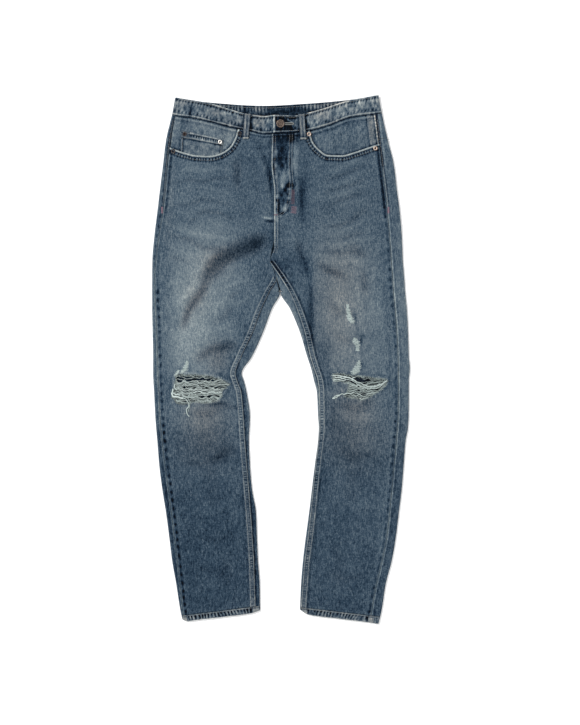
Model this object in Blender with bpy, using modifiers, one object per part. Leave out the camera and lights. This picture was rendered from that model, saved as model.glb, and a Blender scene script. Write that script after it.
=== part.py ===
"""Ripped five-pocket jeans lying flat, front side up.

Units: the tables and sizes are in millimetres and become metres where points are made.
Axes: +X to the wearer's left, +Y from the hems to the waist, +Z up off the ground, z = 0 on it.
The cloth is one wall thick throughout. Its back layer lies on the ground, wraps around the
sides in a half-round fold, and meets the front panels at the outseams and inseams on top.
"""

import math

import bmesh
import bpy
import numpy as np

MM = 0.001

# Walls
WALL = 1.2                # one layer of denim
BAND_WALL = 2.5           # the waistband: two layers and its turned edges
HEM_WALL = 2.4            # a hem: the cloth turned up on itself
LINER_WALL = 1.0          # pocket facing and coin pocket
LOOP_WALL = 1.4           # a belt loop, folded in three
SEAM = 0.25               # each piece ends this far short of its seam line
CLEAR = 0.3               # between two pieces that lie on each other

# The lie of the cloth
SEAT_LIFT = 1.5           # the seat rides on the back pockets and back belt loops
SEAT_LIFT_ENDS = (262.0, 225.0)     # where that lift starts to fall and where it has gone
BODY_HEIGHT = 7.0         # upper face of the front over hips and seat
LEG_HEIGHT = 6.2          # upper face of the legs
HEIGHT_CHANGE = (270.0, 190.0)      # between these two levels one becomes the other
FOLD_REACH = 4.0          # how far in the round of a side fold reaches
EDGE_DROOP = 0.8          # the cloth is lower beside its side folds
DROOP_LENGTH = 16.0

# Crotch
CROSSING_Y = 205.0        # the inseams and the front and back seams meet
CROSSING_X = -21.5
FORK_Y = 139.0            # top of the gap between the legs
FORK_X = -1.5
INSEAM_TOP_RIGHT = 172.0  # each inseam starts on the seat seam
INSEAM_TOP_LEFT = CROSSING_Y
KNEE_RIGHT = -29.0        # the inner fold turns in most sharply here
KNEE_LEFT = -18.0         # the leg is widest here
TONGUE_SHORT = 7.0        # a tongue of each back comes up on top, to this far below that

# Waistband and fly
BAND_HEIGHT = 36.0
BAND_FACE = 7.4           # outer face of the band's front half
OVERLAP_FACE = 10.3       # and of its buttoned end, which lies on the other end
OVERLAP_RAMP = (24.0, 48.0)
OVERLAP_END = -15.5
UNDERLAP_END = 20.0
FLY_TOP = 461.0
FLY_BOTTOM = 300.0
FLY_CHANGE = 22.0         # the lap begins over this length
FLY_UNDERLAP = 4.0        # the right front's edge lies this far under the left's
FLY_RISE = 0.8            # the lap stands proud of the cloth beside it
FLY_LAP_WIDTH = 34.0
FLY_LAP_RAMP = 26.0
SHIELD_REACH = (-8.0, 38.0)         # both measured from the lap's edge
ZIP_REACH = (5.0, 31.0)
ZIP_WALL = 1.4

# Fastenings
BUTTON_X = -1.0
BUTTON_Y = 483.0
BUTTON_RADIUS = 8.5
BUTTON_CAP = 3.0          # height of the cap over the overlap
SHANK_RADIUS = 3.0
BUTTONHOLE_RADIUS = 3.8
BUTTONHOLE_END = 24.0
BUTTONHOLE_SLOT = 1.6
RIVET_RADIUS = 4.5
RIVET_HEIGHT = 1.6
RIVET_RIM = 0.3
TURN_STEPS = 20           # sides of a turned piece

# Belt loops
LOOP_WIDTH = 13.6
LOOP_LENGTH = 52.0
LOOP_STEP = (9.0, 2.0)    # a front loop comes down off the band between these, below its seam

# Pockets
MOUTH_PAST = 20.0         # its cutter goes on this far past the outseam
FACING_DEPTH = 26.0       # the facing goes on this far below the pocket mouth
FACING_RECESS = 2.8       # its face lies this far below the front's
FACING_RAMP = (6.0, 36.0)           # from the mouth into the corner, where it comes up flush
FACING_MARGIN = 9.0
COIN_NEAR = 7.0           # the coin pocket clears the facing's highest part this near

# Rings of points
SECTION_STEP = 29.0       # between two rings of points down the garment
END_FADE = 120.0          # rings near waist and hem follow the slant of those edges
FRONT_TOP = 480.0         # middle level of the waist seam, across a front
BACK_TOP = 436.0          # middle level of the yoke seam, across a back
FORK_RINGS = (165.0, 152.0, 104.0)  # more rings about the fork
FRONT_COLUMNS = 9
CUT_TOP = 30.0            # cutters reach up past everything

# Right leg: u is measured from the centre line towards the wearer's right.
# y, outer fold, outseam, front edge (fly line above the crotch, inseam below), inner fold
RIGHT_SECTIONS = (
    (540, 216.5, 211.0, 16.0, 1.5),
    (505, 223.0, 216.5, 17.0, 1.5),
    (449, 236.0, 226.0, 18.5, 1.5),
    (400, 242.0, 232.0, 19.5, 1.5),
    (343, 249.0, 237.0, 14.0, 1.5),
    (301, 254.0, 242.0, 14.0, 1.5),
    (252, 260.0, 250.0, 14.0, 1.5),
    (205, 264.0, 256.0, 21.5, 1.5),
    (172, 264.5, 258.5, 11.5, 1.5),
    (139, 264.5, 258.0, 28.0, 1.5),
    (104, 264.5, 256.5, 44.5, 18.5),
    (55, 263.5, 254.5, 63.0, 37.0),
    (6, 262.5, 253.0, 86.0, 59.5),
    (-29, 262.5, 252.0, 98.5, 80.5),
    (-43, 262.0, 251.5, 95.0, 76.0),
    (-68, 260.5, 250.0, 86.5, 70.0),
    (-117, 258.0, 248.0, 82.0, 63.5),
    (-166, 254.0, 243.5, 79.0, 65.5),
    (-215, 250.0, 238.0, 75.0, 63.5),
    (-264, 244.0, 231.0, 71.0, 59.5),
    (-314, 236.0, 224.5, 67.0, 51.0),
    (-363, 229.5, 218.5, 63.5, 49.0),
    (-412, 223.5, 212.5, 60.5, 47.0),
    (-461, 215.0, 207.0, 59.0, 43.5),
    (-512, 207.0, 201.5, 57.0, 43.0),
    (-540, 201.0, 196.0, 56.0, 43.0),
)

# Left leg: the same columns, with u towards the wearer's left.
LEFT_SECTIONS = (
    (540, 200.5, 188.0, -15.5, -1.5),
    (505, 207.0, 193.0, -17.0, -1.5),
    (449, 219.5, 200.5, -18.5, -1.5),
    (400, 231.5, 206.5, -19.5, -1.5),
    (343, 238.5, 214.0, -14.0, -1.5),
    (301, 244.0, 218.5, -14.0, -1.5),
    (252, 248.0, 223.0, -14.0, -1.5),
    (230, 249.0, 224.5, -14.5, -1.5),
    (205, 250.0, 226.5, -21.5, -1.5),
    (198, 250.5, 227.0, -16.8, -1.5),
    (170, 253.0, 229.0, 3.0, -1.5),
    (139, 255.0, 231.0, 22.0, -1.5),
    (104, 258.5, 234.0, 37.5, 18.5),
    (55, 261.0, 238.0, 54.0, 39.0),
    (6, 262.5, 240.5, 65.0, 53.5),
    (-18, 264.5, 241.0, 72.5, 61.5),
    (-43, 262.5, 241.0, 80.5, 67.5),
    (-68, 262.5, 241.0, 83.0, 73.5),
    (-117, 262.0, 240.5, 84.0, 76.0),
    (-141, 260.5, 239.0, 84.0, 77.5),
    (-166, 256.0, 237.0, 82.0, 76.0),
    (-215, 252.0, 232.5, 76.0, 69.5),
    (-264, 248.0, 228.0, 70.5, 63.5),
    (-314, 242.0, 223.0, 65.5, 57.5),
    (-363, 236.0, 217.5, 60.0, 51.0),
    (-412, 227.5, 208.0, 53.5, 45.0),
    (-461, 215.0, 196.5, 49.5, 41.0),
    (-512, 207.0, 187.0, 46.0, 39.0),
    (-542, 200.5, 182.0, 45.0, 38.5),
)

# x, y along the band's front top edge, its bottom seam, and its back top edge
BAND_TOP_FRONT = (
    (-216, 537), (-150, 526), (-103, 512.5), (-77, 505), (-57, 501.5), (-33, 499), (-16, 501),
    (25, 499.5), (50, 504.5), (95, 517), (135, 530), (200, 542),
)
WAIST_SEAM_FRONT = (
    (-222, 501), (-175, 494), (-135, 484.5), (-90, 473.5), (-60, 467.5), (-33, 462.5), (-16, 463.5),
    (33, 466), (55, 469), (100, 481), (141, 496), (173, 501), (206, 505),
)
BAND_TOP_BACK = ((-216, 537), (-150, 527.5), (-33, 520.5), (40, 524), (135, 532), (200, 542))

# Yoke seam across the back: distance from the centre, y
YOKE_SEAM = ((0, 412), (60, 420), (130, 436), (200, 452), (240, 456))

# Bottom edge of each hem, and the straight seam above it: u, y
HEM_EDGE_RIGHT = ((43, -514.5), (64, -521), (124, -528.5), (183, -535.5), (191, -537), (203, -533))
HEM_EDGE_LEFT = ((39, -513), (55, -523), (118, -531.5), (183, -539.5), (199, -542), (202, -542))
HEM_SEAM_RIGHT = ((43, -505.5), (203, -525.5))
HEM_SEAM_LEFT = ((39, -508), (202, -527.5))

# Front pocket mouths from the band to the outseam: u, y
MOUTH_RIGHT = (
    (87.0, 476), (89.5, 468), (95, 452), (106, 434.5), (126, 422), (146, 417.5), (172, 418.5),
    (194, 423), (222, 432.5), (240, 440),
)
MOUTH_LEFT = (
    (58.0, 472), (60, 463), (65.5, 446), (79.5, 429.5), (95, 419.5), (124, 418.5), (150, 425),
    (174, 433), (193, 439.5), (215, 447),
)

# Coin pocket, on the right: u and y of its corners, top edge first
COIN_TOP = ((204, 469.5), (119, 451))
COIN_BOTTOM = ((206, 402), (124, 396))

# Corners of a back pocket: u, y
BACK_POCKET = ((44, 396), (186, 408), (180, 292), (114, 266), (50, 286))

# Where the band's outer points lie on its buttoned half: x, from the side to the overlap's end
OVERLAP_STATIONS = (170, 140, 110, 80, 60, 48, 40, 32, 24, 8, OVERLAP_END)
BAND_SIDES = (-216.0, 200.0)        # x where the band's front starts to turn over the side

# Belt loops: name, x at the top, x at the foot, y at the top
FRONT_LOOPS = (
    ("belt_loop_front_right", -68.5, -72.5, 504.0),
    ("belt_loop_front_left", 42.0, 46.0, 503.0),
)
BACK_LOOPS = (
    ("belt_loop_back_right", -128.0), ("belt_loop_back_centre", 0.0), ("belt_loop_back_left", 122.0),
)

# Rivets: name, x, y, metal; those of the coin pocket sit on it, and the others on the fronts
FRONT_RIVETS = (
    ("rivet_right_waist", -85.0, 463.5, "copper"),
    ("rivet_right_side", -221.0, 427.0, "copper"),
    ("rivet_left_waist", 57.5, 462.0, "steel"),
    ("rivet_left_side", 193.5, 433.0, "copper"),
)
COIN_RIVETS = (("rivet_coin_outer", -197.5, 462.0, "copper"), ("rivet_coin_inner", -125.0, 446.0, "steel"))

# Knee rips, where the cloth is worn through to its weft threads: x, upper edge y, lower edge y
RIP_RIGHT = (
    (-221, -40, -72), (-213, -28, -79), (-200, -27, -84), (-186, -28.5, -87), (-150, -32, -88),
    (-130, -35, -86), (-121.5, -38.5, -77), (-112, -43, -59), (-104, -47, -51),
)
RIP_LEFT = (
    (107, -32, -46), (121, -31, -59), (135, -32, -73), (146, -33, -80), (160, -35, -76),
    (182, -37, -66), (204, -38, -60), (218, -40, -50),
)

RIP_CLEAR = 0.4           # between a rip's edge and its threads
RIP_COLUMNS = 15

# Largest folds: width, rise (a trough is negative), then the points it runs through
FOLDS = (
    (11, -2.6, ((-22, 268), (-57, 232), (-105, 214), (-146, 181), (-166, 148), (-191, 104), (-201, 77))),
    (16, 0.5, ((-60, 206), (-106, 188), (-128, 160), (-146, 120))),
    (14, -1.4, ((-116, 28), (-146, 8), (-180, -14))),
    (11, -2.0, ((26, 252), (41, 197), (59, 169), (66, 136), (64, 89), (76, 16))),
    (13, -1.0, ((-92, 420), (-88, 380), (-90, 344))),
    (10, -0.9, ((43, 360), (42, 306))),
    (15, -1.3, ((-150, -140), (-142, -240), (-128, -330))),
    (15, -1.2, ((150, -120), (156, -220), (140, -320))),
    (12, -1.2, ((110, -360), (124, -430), (120, -480))),
    (12, -1.0, ((-100, -380), (-112, -440), (-104, -490))),
)
FOLD_END = 40.0           # a fold fades out over this length at each end

DENIM = (0.105, 0.145, 0.195)
DENIM_INSIDE = (0.16, 0.20, 0.24)
THREAD = (0.55, 0.60, 0.58)
METALS = {"copper": (0.42, 0.24, 0.16), "steel": (0.42, 0.42, 0.41)}
TAPE = (0.05, 0.06, 0.08)


def smooth_line(points):
    """A smooth line through (position, value) pairs that does not overshoot between them."""
    points = sorted(points)
    at = np.array([point[0] for point in points], float)
    value = np.array([point[1] for point in points], float)
    step = np.diff(at)
    rise = np.diff(value) / step
    slope = np.zeros(len(at))
    slope[0] = rise[0]
    slope[-1] = rise[-1]
    for i in range(1, len(at) - 1):
        if rise[i - 1] * rise[i] > 0.0:
            slope[i] = 2.0 * rise[i - 1] * rise[i] / (rise[i - 1] + rise[i])

    def read(position):
        position = min(max(position, at[0]), at[-1])
        i = min(max(int(np.searchsorted(at, position)) - 1, 0), len(step) - 1)
        s = (position - at[i]) / step[i]
        return float(
            value[i] * (1 + 2 * s) * (1 - s) ** 2
            + slope[i] * step[i] * s * (1 - s) ** 2
            + value[i + 1] * s * s * (3 - 2 * s)
            + slope[i + 1] * step[i] * s * s * (s - 1)
        )

    return read


def ease(value, start, end):
    """0 before start, 1 past end, and a soft step between; start may be above end."""
    t = min(max((value - start) / (end - start), 0.0), 1.0)
    return t * t * (3.0 - 2.0 * t)


def mix(a, b, t):
    return a + (b - a) * t


def spread(start, end, count):
    """count values from start to end."""
    return [mix(start, end, i / (count - 1)) for i in range(count)]


class Side:
    """One half of the garment, with a smooth line down its length for each table column."""

    def __init__(self, sign, sections, hem_edge, hem_seam, mouth, inseam_top, knee):
        self.sign = sign
        self.knee = knee
        self.inseam_top = inseam_top
        self.tongue_top = inseam_top - TONGUE_SHORT
        lines = [smooth_line([(row[0], row[k]) for row in sections]) for k in range(1, 5)]
        self.outer, self.outseam, self.front_line, self.inner = lines
        self.hem_edge = smooth_line(hem_edge)
        self.hem_ends = hem_seam
        self.hem_level = (hem_seam[0][1] + hem_seam[1][1]) / 2.0
        self.mouth = mouth
        self.mouth_line = smooth_line(mouth)

    def hem_seam(self, u):
        (near, start), (far, end) = self.hem_ends
        return mix(start, end, (u - near) / (far - near))

    def seat_seam(self, y):
        """The seat seam where it comes up between the legs, from fork to crossing."""
        x = mix(FORK_X, CROSSING_X, (y - FORK_Y) / (CROSSING_Y - FORK_Y))
        return self.sign * x

    def front_edge(self, y):
        """Inner edge of the front: fly line, seat seam as far as the inseam's top, inseam."""
        if self.inseam_top < y < CROSSING_Y:
            return self.seat_seam(y)
        return self.front_line(y)


RIGHT = Side(-1.0, RIGHT_SECTIONS, HEM_EDGE_RIGHT, HEM_SEAM_RIGHT, MOUTH_RIGHT, INSEAM_TOP_RIGHT,
             KNEE_RIGHT)
LEFT = Side(1.0, LEFT_SECTIONS, HEM_EDGE_LEFT, HEM_SEAM_LEFT, MOUTH_LEFT, INSEAM_TOP_LEFT, KNEE_LEFT)

band_top_front = smooth_line(BAND_TOP_FRONT)
waist_seam_front = smooth_line(WAIST_SEAM_FRONT)
band_top_back = smooth_line(BAND_TOP_BACK)
yoke_seam = smooth_line(YOKE_SEAM)


def distance_to_path(x, y, path):
    """Distance from a point to a run of straight pieces, and the length along it to there."""
    best = None
    run = 0.0
    for (ax, ay), (bx, by) in zip(path, path[1:]):
        dx, dy = bx - ax, by - ay
        length = math.hypot(dx, dy)
        t = min(max(((x - ax) * dx + (y - ay) * dy) / length ** 2, 0.0), 1.0)
        gap = math.hypot(x - ax - dx * t, y - ay - dy * t)
        if best is None or gap < best[0]:
            best = (gap, run + length * t)
        run += length
    return best[0], best[1], run


def fold_relief(x, y):
    """Rise or fall of the upper cloth from its largest folds."""
    total = 0.0
    for width, rise, path in FOLDS:
        gap, along, length = distance_to_path(x, y, path)
        fade = ease(along, 0.0, FOLD_END) * ease(length - along, 0.0, FOLD_END)
        total += rise * fade * math.exp(-((gap / width) ** 2))
    return total


def ground_lift(y):
    """Height of the back's underside: the seat rides on the pockets sewn under it."""
    return SEAT_LIFT * (1.0 - ease(y, *SEAT_LIFT_ENDS))


def upper_face(side, u, y):
    """Height of the upper cloth's outer face."""
    height = mix(BODY_HEIGHT, LEG_HEIGHT, ease(y, *HEIGHT_CHANGE))
    to_outer = side.outer(y) - u
    to_inner = math.hypot(u - side.inner(y), max(0.0, y - FORK_Y))
    room = max(min(to_outer, to_inner) - FOLD_REACH, 0.0)
    height -= EDGE_DROOP * math.exp(-room / DROOP_LENGTH)
    height += fold_relief(side.sign * u, y)
    lowest = ground_lift(y) + 2.0 * WALL + CLEAR
    return max(height, lowest + CLEAR)


def fly_share(y):
    """1 along the fly opening, where one front's edge lies above the other's, 0 below it."""
    return ease(y, FLY_BOTTOM - FLY_CHANGE, FLY_BOTTOM)


def underlap_share(y):
    """1 where the right front goes on under the left: all of it above the change in height."""
    return ease(y, FLY_BOTTOM, FLY_BOTTOM + FLY_CHANGE)


def front_face(side, u, y):
    """Upper face of a front panel, with the left one lapped over the right at the fly."""
    height = upper_face(side, u, y)
    from_edge = u - side.front_edge(y)
    if side is LEFT:
        lap = 1.0 - ease(from_edge, FLY_LAP_WIDTH, FLY_LAP_WIDTH + FLY_LAP_RAMP)
        return height + FLY_RISE * lap * fly_share(y)
    tuck = 1.0 - ease(from_edge, 0.0, FLY_LAP_RAMP)
    return height - (FLY_RISE + CLEAR) * tuck * fly_share(y)


def band_face(x):
    """Outer face of the band's front half on the wearer's left, which laps over."""
    return mix(OVERLAP_FACE, BAND_FACE, ease(x, *OVERLAP_RAMP))


def corner_depth(side, u, y):
    """How far a point lies inside the corner that a front pocket mouth leaves bare."""
    if u < side.mouth[0][0] or y < side.mouth_line(u):
        return 0.0
    return distance_to_path(u, y, side.mouth)[0]


def facing_face(side, u, y):
    """Upper face of a front pocket's facing: under the front, and flush in the bare corner."""
    recess = mix(FACING_RECESS, CLEAR, ease(corner_depth(side, u, y), *FACING_RAMP))
    lowest = ground_lift(y) + WALL + CLEAR + LINER_WALL
    return max(front_face(side, u, y) - recess, lowest + CLEAR / 3.0)


def to_metres(points):
    return [(x * MM, y * MM, z * MM) for x, y, z in points]


def link(obj, collection_name):
    collection = bpy.data.collections.get(collection_name)
    if collection is None:
        collection = bpy.data.collections.new(collection_name)
        bpy.context.scene.collection.children.link(collection)
    collection.objects.link(obj)


def material(name, colour, roughness, metallic=0.0):
    found = bpy.data.materials.get(name)
    if found:
        return found
    made = bpy.data.materials.new(name)
    made.use_nodes = True
    shader = made.node_tree.nodes["Principled BSDF"]
    shader.inputs["Base Color"].default_value = (*colour, 1.0)
    shader.inputs["Roughness"].default_value = roughness
    shader.inputs["Metallic"].default_value = metallic
    return made


def finish(name, mesh, finish_material):
    """A sub-part made from a mesh."""
    obj = bpy.data.objects.new(name, mesh)
    link(obj, "ripped_jeans")
    mesh.materials.append(finish_material)
    return obj


def sheet_mesh(name, grid, skip=None, closed=False):
    """A mesh of quads over a grid of points, with its first face upward.

    A point may be None where the sheet has none. skip(row, column) leaves a quad out, and
    closed joins the last column to the first.
    """
    points = []
    index = {}
    for r, row in enumerate(grid):
        for c, point in enumerate(row):
            if point is not None:
                index[r, c] = len(points)
                points.append(point)
    quads = []
    columns = len(grid[0])
    for r in range(len(grid) - 1):
        for c in range(columns if closed else columns - 1):
            after = (c + 1) % columns
            corners = [(r, c), (r, after), (r + 1, after), (r + 1, c)]
            if skip and skip(r, c):
                continue
            if all(corner in index for corner in corners):
                quads.append([index[corner] for corner in corners])
    a, b, _, d = (np.array(points[i]) for i in quads[0])
    if np.cross(b - a, d - a)[2] < 0.0:
        quads = [quad[::-1] for quad in quads]
    mesh = bpy.data.meshes.new(name)
    mesh.from_pydata(to_metres(points), [], quads)
    mesh.update()
    return mesh


def cloth(name, grid, wall, colour=DENIM, skip=None, closed=False):
    """A cloth wall whose outer face runs through the grid's points."""
    mesh = sheet_mesh(name, grid, skip, closed)
    mesh.shade_smooth()
    obj = finish(name, mesh, material("denim" if colour is DENIM else name, colour, 0.9))
    solidify = obj.modifiers.new("Wall", "SOLIDIFY")
    solidify.thickness = wall * MM
    solidify.offset = -1.0
    return obj


def prism_mesh(name, outline, low, high):
    """A closed upright prism on an outline of (x, y) points."""
    bm = bmesh.new()
    base = bm.faces.new([bm.verts.new((x * MM, y * MM, low * MM)) for x, y in outline])
    top = bmesh.ops.extrude_face_region(bm, geom=[base])["geom"]
    moved = [item for item in top if isinstance(item, bmesh.types.BMVert)]
    bmesh.ops.translate(bm, vec=(0.0, 0.0, (high - low) * MM), verts=moved)
    bmesh.ops.recalc_face_normals(bm, faces=bm.faces)
    mesh = bpy.data.meshes.new(name)
    bm.to_mesh(mesh)
    bm.free()
    return mesh


def cut(obj, name, outline, low, high):
    """Cut an upright prism out of an object."""
    cutter = bpy.data.objects.new(name, prism_mesh(name, outline, low, high))
    link(cutter, "cutters")
    cutter.hide_render = True
    cutter.display_type = "WIRE"
    boolean = obj.modifiers.new(name, "BOOLEAN")
    boolean.operation = "DIFFERENCE"
    boolean.solver = "EXACT"
    boolean.object = cutter


def levels(marks, spacing):
    """Heights from the first mark to the last, through every mark, about spacing apart."""
    found = [marks[0]]
    for high, low in zip(marks, marks[1:]):
        parts = max(1, round((high - low) / spacing))
        found += [mix(high, low, i / parts) for i in range(1, parts + 1)]
    return found


def leg_levels(side):
    """Heights of the rings from the crossing down, the same for the front and the back."""
    marks = {CROSSING_Y, side.inseam_top, side.tongue_top, FORK_Y, side.knee, *FORK_RINGS}
    return levels(sorted(marks, reverse=True) + [side.hem_level + SEAM], SECTION_STEP)


def bend_level(level, u, top_line, top_level, side):
    """Move a ring's point so that the rings near the ends follow the waist and the hem."""
    near_top = min(max((level - top_level + END_FADE) / END_FADE, 0.0), 1.0)
    near_hem = min(max((side.hem_level + END_FADE - level) / END_FADE, 0.0), 1.0)
    level += (top_line(u) - top_level) * near_top
    level += (side.hem_seam(u) - side.hem_level) * near_hem
    return level


# Fronts

def front_panel(side, name):
    """One front: outseam to fly line and inseam, waist seam to hem."""

    def waist(u):
        return waist_seam_front(side.sign * u) - 2.0 * SEAM

    marks = [FRONT_TOP, FLY_BOTTOM + FLY_CHANGE, FLY_BOTTOM, FLY_BOTTOM - FLY_CHANGE, CROSSING_Y]
    rings = levels(marks, SECTION_STEP)[:-1] + leg_levels(side)
    grid = []
    for level in rings:
        row = []
        for share in spread(0.0, 1.0, FRONT_COLUMNS):
            y = level
            for _ in range(4):
                lap = 0.0 if side is LEFT else (FLY_UNDERLAP + 2.0 * SEAM) * underlap_share(y)
                inner = side.front_edge(y) + SEAM - lap
                u = mix(side.outseam(y) - SEAM, inner, share)
                y = bend_level(level, u, waist, FRONT_TOP, side)
            row.append((side.sign * u, y, front_face(side, max(u, side.front_edge(y)), y)))
        grid.append(row)
    panel = cloth(name, grid, WALL)
    mouth = pocket_mouth_outline(side)
    cut(panel, name + "_mouth_cutter", mouth, 0.0, CUT_TOP)
    return panel


def pocket_mouth_outline(side):
    """The corner that a front pocket's mouth takes out of a front."""
    curve = []
    us = [row[0] for row in side.mouth]
    for start, end in zip(us, us[1:]):
        curve += [(u, side.mouth_line(u)) for u in (start, (start + end) / 2.0)]
    curve.append((us[-1], side.mouth_line(us[-1])))
    beyond = us[-1] + MOUTH_PAST
    above = curve[0][1] + 2.0 * MOUTH_PAST
    corner = [(beyond, curve[-1][1]), (beyond, above), (us[0], above)]
    return [(side.sign * u, y) for u, y in curve + corner]


# Backs and yokes

def back_section(side, y):
    """Points (u, z) of the back layer, from the outseam on top around to the inseam on top."""
    outer = side.outer(y)
    low = ground_lift(y)
    high = upper_face(side, outer - FOLD_REACH, y)
    seam = side.outseam(y) + SEAM
    section = [(seam, upper_face(side, seam, y))]
    section += side_fold(outer, FOLD_REACH, low, high)
    inner = side.inner(y)
    forked = y <= FORK_Y + SEAM
    start = inner + (FOLD_REACH + SEAM if forked else SEAM)
    for share in (0.25, 0.5, 0.75, 1.0):
        section.append((mix(outer - FOLD_REACH, start, share), low))
    if forked:
        high = upper_face(side, inner + FOLD_REACH, y)
        round_points = side_fold(inner, -FOLD_REACH, low, high)[::-1]
        section += [(u + SEAM, z) for u, z in round_points[1:]]
    else:
        inner_top = side.seat_seam(y) + SEAM
        section += [None, None, None, (inner_top, upper_face(side, inner_top, y))]
    seam = side.front_edge(y) - SEAM
    section.append((seam, upper_face(side, seam, y)))
    return section


def side_fold(tip, reach, low, high):
    """The half-round of a side fold as (u, z), from its upper end to its lower one."""
    middle, half = (low + high) / 2.0, (high - low) / 2.0
    return [
        (tip - reach + reach * math.sin(angle), middle + half * math.cos(angle))
        for angle in spread(0.0, math.pi, 5)
    ]


def back_panel(side, name):
    """One back: it lies on the ground, wraps both side folds and ends on top at the seams."""

    def yoke(u):
        return yoke_seam(abs(u)) - SEAM

    rings = levels([BACK_TOP, SEAT_LIFT_ENDS[0], CROSSING_Y], SECTION_STEP)[:-1]
    rings += leg_levels(side)
    grid = []
    for level in rings:
        row = []
        for column, point in enumerate(back_section(side, level)):
            if point is None or (column >= 10 and level > side.tongue_top + 1.0):
                row.append(None)
                continue
            u, y = point[0], level
            for _ in range(4):
                y = bend_level(level, u, yoke, BACK_TOP, side)
                u = back_section(side, y)[column][0]
            row.append((side.sign * u, y, back_section(side, y)[column][1]))
        grid.append(row)

    def is_open(r, column):
        return column == 9 and rings[r] > FORK_Y + 1.0

    return cloth(name, grid, WALL, skip=is_open)


def yoke_panel(side, name):
    """The shaped piece between waistband and back, from the outseam to the centre back."""
    grid = []
    for share in spread(0.0, 1.0, 3):
        row = []
        for column in range(10):
            y = BACK_TOP
            for _ in range(5):
                u = back_section(side, y)[column][0]
                turn = min(max((column - 1) / 4.0, 0.0), 1.0)
                top = band_foot(side.sign * u, turn) - SEAM
                y = mix(top, yoke_seam(abs(u)) + SEAM, share)
            row.append((side.sign * u, y, back_section(side, y)[column][1]))
        grid.append(row)
    return cloth(name, grid, WALL)


# Waistband, hems and loops

def band_foot(x, turn):
    """Lower edge of the band: turn is 0 on the front, 1 on the back, between them in a fold."""
    return mix(waist_seam_front(x), band_top_back(x) - BAND_HEIGHT, turn)


def waistband():
    """One band from its under end, round the back, to its buttoned end on top."""
    stations = []
    for x in spread(UNDERLAP_END, BAND_SIDES[0] + 26.0, 9):
        stations.append(("front", x, BAND_FACE))
    radius = (BAND_FACE - SEAT_LIFT) / 2.0
    for angle in spread(0.0, math.pi, 7):
        stations.append(("right", radius * (math.sin(angle) - 1.0), angle))
    right_end = RIGHT.outer(waist_seam_front(BAND_SIDES[0])) - FOLD_REACH
    left_end = LEFT.outer(waist_seam_front(BAND_SIDES[1])) - FOLD_REACH
    quarters = (0.25, 0.5, 0.75)
    for x in [-right_end * (1.0 - part) for part in quarters] + [0.0]:
        stations.append(("back", x, SEAT_LIFT))
    for x in [left_end * part for part in quarters]:
        stations.append(("back", x, SEAT_LIFT))
    for angle in spread(math.pi, 0.0, 7):
        stations.append(("left", radius * (math.sin(angle) - 1.0), angle))
    for x in OVERLAP_STATIONS:
        stations.append(("front", x, band_face(x)))
    middle = (BAND_FACE + SEAT_LIFT) / 2.0
    grid = []
    for drop in spread(0.0, 1.0, 3):
        row = []
        for place, value, extra in stations:
            if place in ("front", "back"):
                top = band_top_front(value) if place == "front" else band_top_back(value)
                foot = band_foot(value, 1.0 if place == "back" else 0.0) + SEAM
                row.append((value, mix(top, foot, drop), extra))
                continue
            side = RIGHT if place == "right" else LEFT
            end = side.sign * side.outer(520.0)
            foot = band_foot(end, extra / math.pi) + SEAM
            y = mix(band_top_front(end), foot, drop)
            u = side.outer(y) + value
            row.append((side.sign * u, y, middle + radius * math.cos(extra)))
        grid.append(row)
    band = cloth("waistband", grid, BAND_WALL)
    low = BAND_FACE + CLEAR / 2.0
    hole = [
        (BUTTON_X + BUTTONHOLE_RADIUS * math.cos(a), BUTTON_Y + BUTTONHOLE_RADIUS * math.sin(a))
        for a in spread(math.radians(15.0), math.radians(345.0), 13)
    ]
    half = BUTTONHOLE_SLOT / 2.0
    slot = [(BUTTONHOLE_END, BUTTON_Y - half), (BUTTONHOLE_END, BUTTON_Y + half)]
    cut(band, "buttonhole_cutter", hole + slot, low, CUT_TOP)
    return band


def hem(side, name):
    """A turned-up hem: a closed ring around the leg's end."""
    grid = []
    for drop in (0.0, 1.0):
        row = []
        y = side.hem_level
        points = hem_ring(side, y)
        for column in range(len(points)):
            for _ in range(4):
                u, z = hem_ring(side, y)[column]
                y = mix(side.hem_seam(u) - SEAM, side.hem_edge(u), drop)
            row.append((side.sign * u, y, z))
        grid.append(row)
    return cloth(name, grid, HEM_WALL, closed=True)


def hem_ring(side, y):
    """Points (u, z) once around a hem, from the middle of its top outward."""
    outer, inner = side.outer(y), side.inner(y)
    high = LEG_HEIGHT - EDGE_DROOP
    reach = high / 2.0
    near, far = inner + reach, outer - reach
    ring = [(mix(near, far, share), upper_face(side, mix(near, far, share), y))
            for share in (0.5, 0.7, 0.9)]
    ring += side_fold(outer, reach, 0.0, high)
    ring += [(mix(far, near, share), 0.0) for share in (0.33, 0.66)]
    ring += side_fold(inner, -reach, 0.0, high)[::-1]
    ring += [(mix(near, far, share), upper_face(side, mix(near, far, share), y))
             for share in (0.1, 0.3)]
    return ring


def front_loop(name, x_top, x_bottom, y_top):
    """A belt loop that lies on the band and is tacked to the front below it."""
    side = LEFT if x_top > 0.0 else RIGHT
    grid = []
    for y in spread(y_top, y_top - LOOP_LENGTH, 9):
        row = []
        centre = mix(x_top, x_bottom, (y_top - y) / LOOP_LENGTH)
        for x in (centre - LOOP_WIDTH / 2.0, centre, centre + LOOP_WIDTH / 2.0):
            on_band = band_face(x) if side is LEFT else BAND_FACE
            on_front = front_face(side, side.sign * x, y)
            seam = waist_seam_front(x)
            z = mix(on_front, on_band, ease(y, seam - LOOP_STEP[0], seam - LOOP_STEP[1]))
            row.append((x, y, z + CLEAR + LOOP_WALL))
        grid.append(row)
    return cloth(name, grid, LOOP_WALL)


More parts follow.
